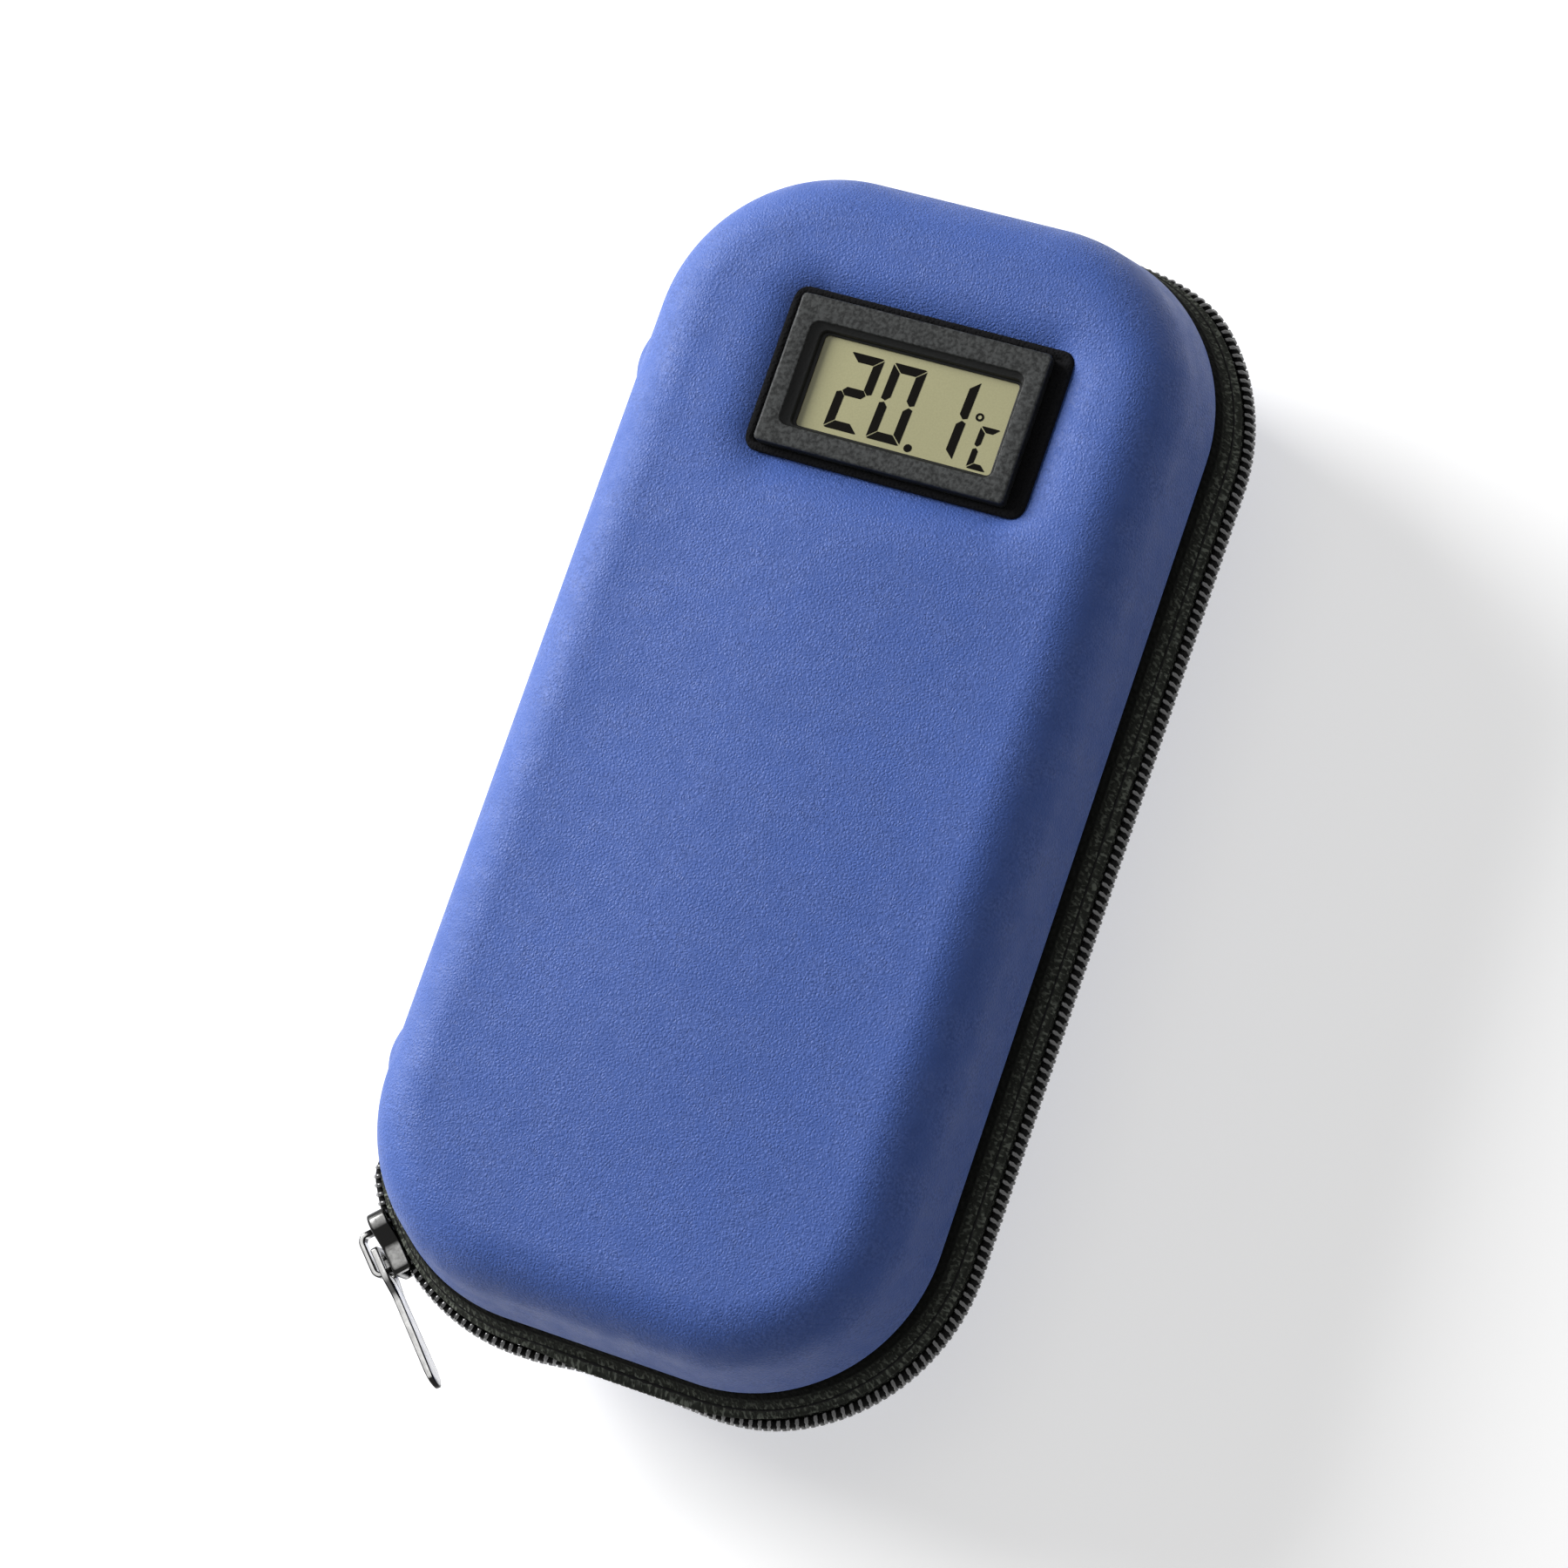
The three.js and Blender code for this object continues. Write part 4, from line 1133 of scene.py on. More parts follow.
@dataclass(frozen=True)
class Cup:
    """A moulded cup between two offsets from the outer skin, for the lid or the base.

    The base's rings shrink to a narrow line: the outline times the base line's shares, no
    further from the middle than the base half.
    """

    side: Side
    offset: float
    thickness: float
    rim_round: float
    columns: int = 512
    rows: int = 44
    crowding: float = 1.35
    base_line: Pair = (0.02, 0.5)
    base_half: float = 56.0

    def across(self, distance: np.ndarray, offset: float, share: np.ndarray) -> np.ndarray:
        """Rings from the round edge to the opening, or to the middle of the base.

        A point lies on the straight line from the edge's inner end to where the ray from the
        middle of the opening meets the opening's outline.

        Args:
            distance: distances along the outline.
            offset: how far inside the outer skin.
            share: how far along that line, for each ring.

        Returns:
            Rings of points.
        """
        inset = MOULD.profile(offset)[-1, 0]
        outer = OUTLINE.at(distance, np.full_like(distance, inset))
        if self.side is Side.LID:
            centre = np.array(MOULD.display)
            ray = outer - centre
            hit = np.min(np.array(MOULD.opening) / np.maximum(np.abs(ray), 1e-9), axis=1)
            inner = centre + ray * hit[:, None]
        else:
            inner = np.clip(outer * self.base_line, -self.base_half, self.base_half)
        flat = outer[None] + (inner - outer)[None] * share[:, None, None]
        rise = MOULD.top(flat, self.side is Side.LID) - offset
        return np.concatenate([flat, ZIP_PLANE + self.side.value * rise[..., None]], -1)

    def skin(self) -> Skin:
        """The whole closed surface: up the outside, over it, back below it and down inside.

        Returns:
            The skin.
        """
        distance = np.linspace(0, OUTLINE.legs.sum(), self.columns, endpoint=False)
        outer = MOULD.profile(self.offset)
        inner = MOULD.profile(self.offset + self.thickness, 4, 8)
        rim = fillet(np.array([inner[1], inner[0], outer[0], outer[1]]),
                     self.rim_round, 3, closed=False)[1:-1]
        share = 1 - (1 - np.linspace(0, 1, self.rows)) ** self.crowding
        walls = [np.concatenate([rim, outer[1:-1]]), inner[-2:0:-1]]
        up, down = (OUTLINE.ring(distance, wall, self.side).transpose(1, 0, 2) for wall in walls)
        over = self.across(distance, self.offset, share)
        back = self.across(distance, self.offset + self.thickness, share[::-3])
        if self.side is Side.LID:
            return Skin(np.concatenate([up, over, back, down]), closed=True)
        return Skin(np.concatenate([back, down, up, over])[::-1], ends=End.POINT)


@dataclass(frozen=True)
class Halves:
    """The moulded shells and their linings."""

    wall: float = 3.2
    wall_round: float = 1.1
    gap: float = 0.3
    lining: float = 0.8
    lining_round: float = 0.2

    def build(self, finishes: Finishes) -> None:
        """Makes the shell and the lining of each half.

        Args:
            finishes: the case's finishes.
        """
        for side, body, node in ((Side.LID, "lid", "upper"), (Side.BASE, "base", "lower")):
            shell = Cup(side, 0.0, self.wall, self.wall_round)
            lining = Cup(side, self.wall + self.gap, self.lining, self.lining_round)
            Piece(f"{body}_shell", finishes.blue_cloth, "blue_cloth", body,
                  [f"{node}_shell"]).cover(shell.skin())
            Piece(f"{body}_lining", finishes.lining, "dark_lining", body,
                  [f"{node}_lining"]).cover(lining.skin())


# The sub-assemblies


@dataclass(frozen=True)
class Zip:
    """The zip of one half: its tape and its coil of bent teeth, parted ahead of the slider.

    The waves are stretches of the zip line, over which the coil is drawn in. The slant is in
    pitches, from a tooth's first point to its last. The thread holds a least radius and what
    its stitches add to it, and the lozenge the shares of that radius across the tape and up it.
    """

    side: Side
    start_angle: float = math.radians(6.5)
    coil_angle: float = math.radians(12.0)
    slider_angle: float = math.radians(45.0)
    parted: float = 2.3
    nose: float = 3.5
    shoulder: float = 1.5
    thickness: float = 0.9
    pitch: float = 1.75
    wire: float = 0.46
    foot_inset: float = 2.1
    foot_rise: float = 0.15
    lean_from: float = 2.2
    lean_length: float = 9.0
    ridge: float = 0.55
    ridge_rise: float = 3.7
    ridge_width: float = 0.75
    sag: float = 0.35
    sag_from: float = 5.0
    sag_length: float = 6.0
    rim_tuck: float = 0.8
    rim_low: float = 9.0
    rim_top: float = 11.15
    loose_height: float = 10.0
    start_wave: Pair = (11.0, 20.0)
    start_tuck: float = 2.6
    far_wave: Quad = (345.0, 372.0, 425.0, 455.0)
    far_tuck: float = 3.2
    near_wave: Quad = (66.0, 79.0, 92.0, 118.0)
    near_tuck: float = 1.1
    near_swell: float = 1.5
    swell_rise: float = 3.4
    swell_width: float = 1.9
    slant: Pair = (0.336, -0.176)
    core_middle: Pair = (1.25, 0.95)
    core_half: Pair = (0.8, 0.85)
    seam_rises: Pair = (2.9, 5.3)
    seam_step: float = 0.4
    stitch: float = 2.4
    thread: Pair = (0.1, 0.14)
    lozenge: Pair = (0.7, 1.3)
    stop_length: float = 2.4
    end_gap: float = 0.3
    draw_power: float = 1.2
    lift_power: float = 1.4
    tape_rings: int = 520
    core_rings: int = 400

    @property
    def coil_start(self) -> float:
        """Distance along the zip line at which the coil starts."""
        return self.coil_angle * OUTLINE.corner

    def parting(self, distance: np.ndarray) -> np.ndarray:
        """How far the coil stands off the zip plane: it eases up along the slider's nose."""
        edge = self.slider_angle * OUTLINE.corner + self.shoulder
        return self.parted * (1 - ease(distance, edge - self.shoulder - self.nose, edge))

    def tuck(self, distance: np.ndarray) -> np.ndarray:
        """How far the coil is drawn in: at its start, past the slider's corner, at the far end."""
        return (self.start_tuck * (1 - ease(distance, *self.start_wave))
                + self.near_tuck * hump(distance, *self.near_wave)
                + self.far_tuck * hump(distance, *self.far_wave))

    def face(self, rise: np.ndarray) -> np.ndarray:
        """Inset of the tape's outer face before it settles.

        Over the coil the face leans in evenly towards the shell's rim. A bell-shaped ridge lies
        beside the coil, a half sine sags between ridge and rim, and the last part eases in
        under the rim.

        Args:
            rise: height above the zip plane.

        Returns:
            The insets.
        """
        slope = (MOULD.rim_inset - self.foot_inset) / self.lean_length
        share = np.clip((rise - self.sag_from) / self.sag_length, 0, 1)
        return (self.foot_inset + slope * np.clip(rise - self.lean_from, 0, None)
                - self.ridge * bell(rise, self.ridge_rise, self.ridge_width)
                + self.sag * np.sin(share * math.pi)
                + self.rim_tuck * ease(rise, self.rim_low, self.rim_top))

    def settle(self, distance: np.ndarray, section: np.ndarray) -> np.ndarray:
        """Moves a section to where it lies at each distance.

        The part near the zip plane is lifted by the parting and drawn in by the tuck, both by a
        power of what is left up to the rim. Beside the slider's corner it swells as a bell.

        Args:
            distance: distances along the line.
            section: insets and rises, the same at every distance or one section for each.

        Returns:
            Insets and rises: distances by points by two.
        """
        section = np.broadcast_to(section, (len(distance), *section.shape[-2:]))
        inset, rise = section[..., 0], section[..., 1]
        loose = 1 - np.clip((rise - self.foot_rise) / self.loose_height, 0, 1)
        swell = self.near_swell * hump(distance, *self.near_wave)[:, None]
        drawn = self.tuck(distance)[:, None] * loose ** self.draw_power
        lifted = self.parting(distance)[:, None] * loose ** self.lift_power
        puff = swell * bell(rise, self.swell_rise, self.swell_width)
        return np.stack([inset + drawn - puff, rise + lifted], -1)

    def section(self) -> np.ndarray:
        """The tape's cross-section: outer face, fold under the shell's rim, sewn leg, inner face.

        Returns:
            Insets and rises.
        """
        rises = np.array([self.foot_rise, 0.6, 1.2, 1.9, 2.4, 2.8, 3.2, 3.6, 4.0, 4.4, 4.9, 5.5,
                          6.2, 7.1, 8.1, 9.1, 9.9, 10.5, 10.9, self.rim_top])
        outer = np.stack([self.face(rises), rises], -1)
        leg, leg_top = MOULD.wall_inset(4.6, 11.2), MOULD.wall_inset(4.6, 17.2)
        fold = np.array([[7.3, 11.2], [leg - 0.3, 11.25], [leg, 11.7], [leg_top, 17.1],
                         [leg_top + 0.45, 17.2], [leg_top + 0.9, 17.1], [leg + 0.95, 11.2],
                         [leg + 0.6, 10.4]])
        inner = outer[::-1] + np.array([self.thickness, 0.0])
        inner[:5, 1] -= np.array([0.9, 0.75, 0.5, 0.3, 0.1])
        return np.concatenate([outer, fold, inner])

    def tape(self) -> Skin:
        """The tape's skin, with surface coordinates along the line and round the section.

        Returns:
            The skin.
        """
        start = self.start_angle * OUTLINE.corner
        distance = np.linspace(start, OUTLINE.run - start, self.tape_rings)
        points = OUTLINE.ring(distance, self.settle(distance, self.section()), self.side)
        return Skin(points, onwards=np.append(distance, distance[-1]))

    def seam(self, rise: float) -> Skin:
        """A row of lock stitches that holds the coil, each stitch a flat lozenge of thread.

        The thread's radius swells with the size of a sine, once for each stitch.

        Args:
            rise: the row's height above the zip plane.

        Returns:
            The skin.
        """
        distance = np.arange(self.coil_start, OUTLINE.run - self.coil_start, self.seam_step)
        stitches = np.abs(np.sin(distance * math.pi / self.stitch))[:, None]
        radius = self.thread[0] + self.thread[1] * stitches
        level = rise + self.lozenge[1] * radius * np.cos(turns(6))
        inset = self.face(level) - self.lozenge[0] * radius * np.sin(turns(6))
        section = self.settle(distance, np.stack([inset, level], -1))
        return Skin(OUTLINE.ring(distance, section, self.side))

    def teeth(self) -> tuple[np.ndarray, Faces, np.ndarray]:
        """All teeth of the coil at once.

        Each tooth is one round wire carried along a loop: down the outer face, slanted along the
        zip, across under the coil, and back. Its ring k at angle a lies at the loop's point plus
        the wire's radius times cos a along the zip and sin a across the loop. The rows of the
        loop are an inset, a rise and a share of the wire's thickness.

        Returns:
            Vertices, faces and surface coordinates.
        """
        offset = 0.0 if self.side is Side.LID else self.pitch / 2
        centres = np.arange(self.coil_start, OUTLINE.run - self.coil_start, self.pitch) + offset
        loop = np.array([[2.15, 1.9, 0.9], [1.65, 2.1, 1.1], [1.15, 1.9, 1.1], [0.78, 1.4, 0.72],
                         [0.52, 0.8, 1.05], [0.48, 0.15, 1.1], [0.7, -0.2, 1.0],
                         [1.3, -0.28, 0.9], [1.9, -0.2, 0.7]])
        slant = self.pitch * np.linspace(*self.slant, len(loop))
        way = np.gradient(loop[:, :2], axis=0)
        way /= np.linalg.norm(way, axis=1, keepdims=True)
        thick = self.wire * loop[:, 2:]
        aside = thick * np.sin(turns(6))
        distance = centres[:, None, None] + slant[:, None] + thick * np.cos(turns(6))
        inset = loop[:, :1] + aside * way[:, 1:] + self.tuck(distance)
        rise = loop[:, 1:2] - aside * way[:, :1] + self.parting(distance)
        flat = OUTLINE.at(distance, inset)
        points = np.concatenate([flat, ZIP_PLANE + self.side.value * rise[..., None]], -1)
        count, rings, steps = distance.shape
        _, quads, others, marks = Skin(points[0]).faces()
        shift = np.arange(count)[:, None, None] * rings * steps
        sides, ends = ((np.array(part) + shift).reshape(-1, width).tolist()
                       for part, width in ((quads, 4), (others, steps)))
        marks = np.concatenate([np.tile(marks, (count, 1)), np.zeros((len(ends) * steps, 2))])
        return points.reshape(-1, 3), sides + ends, marks

    def core(self) -> Skin:
        """The cord inside the coil, which the teeth are wound round: an oval along the line.

        Returns:
            The skin.
        """
        start = self.coil_start + self.end_gap
        distance = np.linspace(start, OUTLINE.run - start, self.core_rings)
        oval = np.stack([np.cos(turns(10)), np.sin(turns(10))], -1) * self.core_half
        moved = np.stack([self.tuck(distance), self.parting(distance)], -1)[:, None]
        return Skin(OUTLINE.ring(distance, oval + self.core_middle + moved, self.side))

    def stop(self, distance: float, part: float) -> Skin:
        """A pressed metal stop over the end of the coil.

        Its U-shaped section shrinks about its middle towards both ends.

        Args:
            distance: where it starts along the line.
            part: how far the coil stands off the zip plane there.

        Returns:
            The skin.
        """
        section = fillet([[-0.05, 2.45], [-0.05, 0.3], [2.2, 0.3], [2.2, 2.45]], 0.5)
        marks = distance + np.array([0.0, 0.12, 0.35, 1.2, 2.05, 2.28, self.stop_length])
        shrink = np.array([0.75, 0.9, 1.0, 1.0, 1.0, 0.9, 0.75])
        middle = section.mean(0)
        rings = middle + (section - middle) * shrink[:, None, None]
        rings += np.stack([self.tuck(marks), np.full_like(marks, part)], -1)[:, None]
        return Skin(OUTLINE.ring(marks, rings, self.side))

    def build(self, finishes: Finishes) -> None:
        """Makes the tape, the seams, the coil and the stops of this half.

        Args:
            finishes: the case's finishes.
        """
        word, body = ("upper", "lid") if self.side is Side.LID else ("lower", "base")
        Piece(f"{word}_tape", finishes.tape, "black_tape", body,
              [f"{word}_zip_tape", f"{word}_tape_end"]).cover(self.tape())
        Piece(f"{word}_tape_seams", finishes.thread, "black_tape", body,
              []).cover(*(self.seam(rise) for rise in self.seam_rises))
        Piece(f"{word}_coil", finishes.coil, "black_coil", body,
              [f"{word}_zip_coil", f"{word}_coil_end"]).solid(*self.teeth())
        Piece(f"{word}_coil_core", finishes.thread, "black_coil", body, []).cover(self.core())
        first = self.stop(self.coil_start - self.stop_length - self.end_gap, self.parted)
        Piece(f"{word}_stop", finishes.nickel, "nickel", body, [f"{word}_end_stop"]).cover(first)
        if self.side is Side.BASE:
            last = self.stop(OUTLINE.run - self.coil_start + self.end_gap, 0.0)
            Piece("zip_foot_stop", finishes.nickel, "nickel", body, ["zip_start_stop"]).cover(last)


@dataclass(frozen=True)
class Contents:
    """What lies inside: foam tray, elastic bands, cold packs, and the net pocket of the lid."""

    inset: float = 12.83
    tray_low: float = 12.9
    tray_top: float = 31.0
    tray_edge: float = 1.5
    tray_end: float = 1.6
    tray_margin: float = 2.2
    channel_floor: float = 15.9
    channel_middles: Triple = (-26.0, 0.0, 26.0)
    channel_half: float = 10.0
    channel_lip: float = 1.2
    channel_drop: float = 0.9
    channel_end: float = 88.0
    band_half: float = 44.7
    band_width: float = 22.0
    band_place: float = 44.0
    band_thick: float = 1.2
    band_rise: float = 0.9
    band_lift: float = 3.0
    net_level: float = 49.7
    net_mouth: float = 46.0
    net_thick: float = 0.3
    net_slack: float = 0.25
    net_curve: float = 27.0
    binding_half: float = 46.2
    binding_place: float = 48.3
    pillow_corner: float = 11.0
    welt_corner: float = 14.0
    welt_width: float = 4.2
    welt_reach: float = 8.0
    welt_thick: float = 0.6

    @property
    def end(self) -> float:
        """Half length of the room."""
        return OUTLINE.length / 2 - self.inset

    @property
    def corner(self) -> float:
        """Corner radius of the room."""
        return OUTLINE.corner - self.inset

    def half_width(self, place: np.ndarray) -> np.ndarray:
        """Half width of the room at y: full between the corners, then a quarter circle.

        Args:
            place: y of the rows.

        Returns:
            The half widths.
        """
        x, y = OUTLINE.middle
        past = np.clip(np.abs(place) - y, 0, self.corner)
        return x + np.sqrt(np.maximum(self.corner ** 2 - past ** 2, 0.0))

    def off_channel(self, across: np.ndarray) -> np.ndarray:
        """How far each x lies from the middle of the nearest channel."""
        return np.min(np.abs(across[..., None] - np.array(self.channel_middles)), axis=-1)

    def channel(self, across: np.ndarray) -> np.ndarray:
        """Height of a channel's half-round bottom, or of the tray's top outside the channels.

        Beside a channel the top drops by the square of what is left of the lip.

        Args:
            across: x of the points.

        Returns:
            The heights.
        """
        away, radius = self.off_channel(across), self.channel_half
        bottom = self.channel_floor + radius - np.sqrt(np.clip(radius ** 2 - away ** 2, 0, None))
        lip = self.channel_drop * (1 - np.clip((away - radius) / self.channel_lip, 0, 1)) ** 2
        return np.where(away < radius, np.minimum(bottom, self.tray_top - self.channel_drop),
                        self.tray_top - lip)

    def tray(self) -> Skin:
        """The tray: rows across the room from one end to the other.

        A row's top follows the channels where it lies between their ends, and eases up to the
        plain top past them; its bottom is flat, and its outer edges are rounded.

        Returns:
            The skin.
        """
        end = self.end
        close = np.array([0.0, 0.2, 0.8, self.tray_end])
        past = self.channel_end + np.linspace(-0.4, 1.2, 9)
        place = np.unique(np.concatenate([
            close - end, end - close, past, -past,
            np.linspace(self.tray_end - end, end - self.tray_end, 60)]))
        rims = self.channel_half + np.array([0.3, 0.7, 1.2])
        line = np.concatenate([self.channel_half * crowded(37), rims, -rims])
        line = np.unique(np.round(np.add.outer(self.channel_middles, line), 4))
        wide = self.half_width(place)[:, None]
        outer = wide - np.array([self.tray_edge, 0.8, 0.35, 0.0])
        shrink = np.minimum(1.0, (wide - self.tray_margin) / (line[-1] + 0.2))
        x = np.concatenate([-outer[:, ::-1], line * shrink, outer], 1)
        between = np.clip((self.channel_end - np.abs(place)) / 0.8 + 0.5, 0, 1)[:, None]
        top = self.tray_top + (self.channel(x) - self.tray_top) * between
        to_side = np.clip(1 - (wide - np.abs(x)) / self.tray_edge, 0, 1)
        to_end = np.clip(1 - (end - np.abs(place)) / self.tray_end, 0, 1)[:, None]
        rounding = np.maximum(to_side, to_end)
        top = top - self.tray_edge * (1 - np.sqrt(1 - 0.999 * rounding ** 2))
        return slab(x, place, top, np.full_like(x, self.tray_low))

    def band(self, side: int) -> Skin:
        """An elastic band, arched over the channels as a squared cosine.

        Args:
            side: -1 for the front band, 1 for the rear one.

        Returns:
            The skin, in rows along the case.
        """
        steps = np.array([-1, -0.97, -0.9, -0.5, 0, 0.5, 0.9, 0.97, 1.0])
        thick = self.band_thick / 2 * np.array([[0.35, 0.8, 1, 1, 1, 1, 1, 0.8, 0.35]]).T
        across = np.linspace(-self.band_half, self.band_half, 241)
        away = np.clip(self.off_channel(across) / self.channel_half, 0, 1)
        arch = self.band_lift * np.cos(away * math.pi / 2) ** 2
        middle = self.tray_top + self.band_rise + arch
        return slab(across, side * self.band_place + self.band_width / 2 * steps,
                    middle + thick, middle - thick)

    def net(self) -> Skin:
        """The net: a thin sheet over the room's outline, straight at the mouth, a little slack.

        The slack is a cosine across the sheet times a half sine along it.

        Returns:
            The skin.
        """
        end = self.end
        curve = self.net_curve * (1 - np.cos(np.linspace(0, math.pi / 2, 24)))
        straight = np.linspace(self.net_curve + 2.0 - end, self.net_mouth, 40)
        place = np.concatenate([curve - end, straight])
        along = np.clip((place + end) / (end + self.net_mouth), 0, 1)[:, None]
        slack = np.cos(crowded(41) * math.pi / 2) * np.sin(along * math.pi)
        level = self.net_level + self.net_slack * slack
        return slab(self.half_width(place)[:, None] * crowded(41), place,
                    level + self.net_thick / 2, level - self.net_thick / 2)

    def binding(self) -> Skin:
        """The binding folded over the net's mouth: a rounded strip from wall to wall.

        Returns:
            The skin.
        """
        path = np.linspace([-self.binding_half, self.binding_place, self.net_level],
                           [self.binding_half, self.binding_place, self.net_level], 61)
        section = fillet([[-2.0, -0.8], [2.0, -0.8], [2.0, 0.8], [-2.0, 0.8]], 0.7, 5)
        return swept(path, section, (0.0, 1.0, 0.0))

    def pillow(self, middle: Triple, half: Pair, thick: float) -> Skin:
        """The filled part of a pouch before it swells: a flat box with round edges.

        Each ring lies its inset inside the welt, at its share of the half thickness.

        Args:
            middle: its centre.
            half: half sizes of the pouch with its welt.
            thick: full thickness of the pouch.

        Returns:
            The skin.
        """
        rise = thick / 2 - PAD_SPARE
        rows = [(2.6, -1.0), (0.8, -0.8), (0.0, -0.3), (0.0, 0.3), (0.8, 0.8), (2.6, 1.0)]
        sizes = [(half[0] - self.welt_width - inset, half[1] - self.welt_width - inset,
                  self.pillow_corner, middle[2] + rise * level) for inset, level in rows]
        return Skin(boxes(sizes, middle[:2], 10))

    def welt(self, middle: Triple, half: Pair) -> Skin:
        """The welded seam round a pouch: a thin flat ring that reaches into the filled part.

        Args:
            middle: the pouch's centre.
            half: the pouch's half sizes.

        Returns:
            The closed skin.
        """
        rise = self.welt_thick / 2
        rows = [(self.welt_reach, -rise), (0.15, -rise), (0.0, -rise / 2)]
        rows += [(inset, -level) for inset, level in rows[::-1]]
        sizes = [(half[0] - inset, half[1] - inset, self.welt_corner - inset, middle[2] + level)
                 for inset, level in rows]
        return Skin(boxes(sizes, middle[:2], 10), closed=True)

    def build(self, finishes: Finishes) -> None:
        """Args:
            finishes: the case's finishes.
        """
        Piece("foam_tray", finishes.foam, "grey_foam", "base", ["pen_tray"]).cover(self.tray())
        for name, side in (("front", -1), ("rear", 1)):
            Piece(f"{name}_elastic_band", finishes.elastic, "black_elastic", "base",
                  [f"pen_band_{name}"]).cover(self.band(side))
        net = Piece("lid_net", finishes.net, "black_elastic", "lid",
                    ["pocket_net"]).cover(self.net())
        binding = Piece("lid_net_binding", finishes.elastic, "black_elastic", "lid",
                        ["pocket_binding"]).cover(self.binding())
        (x, y), radius = OUTLINE.middle, self.corner
        for body, middle, half, thick in (("base", (0.0, 0.0, 8.6), (38.0, 86.0), 7.8),
                                          ("lid", (0.0, -26.0, 55.9), (38.0, 68.0), 10.8)):
            name, level = f"{body}_gel_pack", middle[2]
            pack = Piece(name, finishes.gel, "gel_film", body, [f"{body}_cold_pack"]).pad(
                self.pillow(middle, half, thick), (level - thick / 2, level + thick / 2))
            Piece(f"{name}_welt", finishes.gel, "gel_film", body, []).cover(
                self.welt(middle, half))


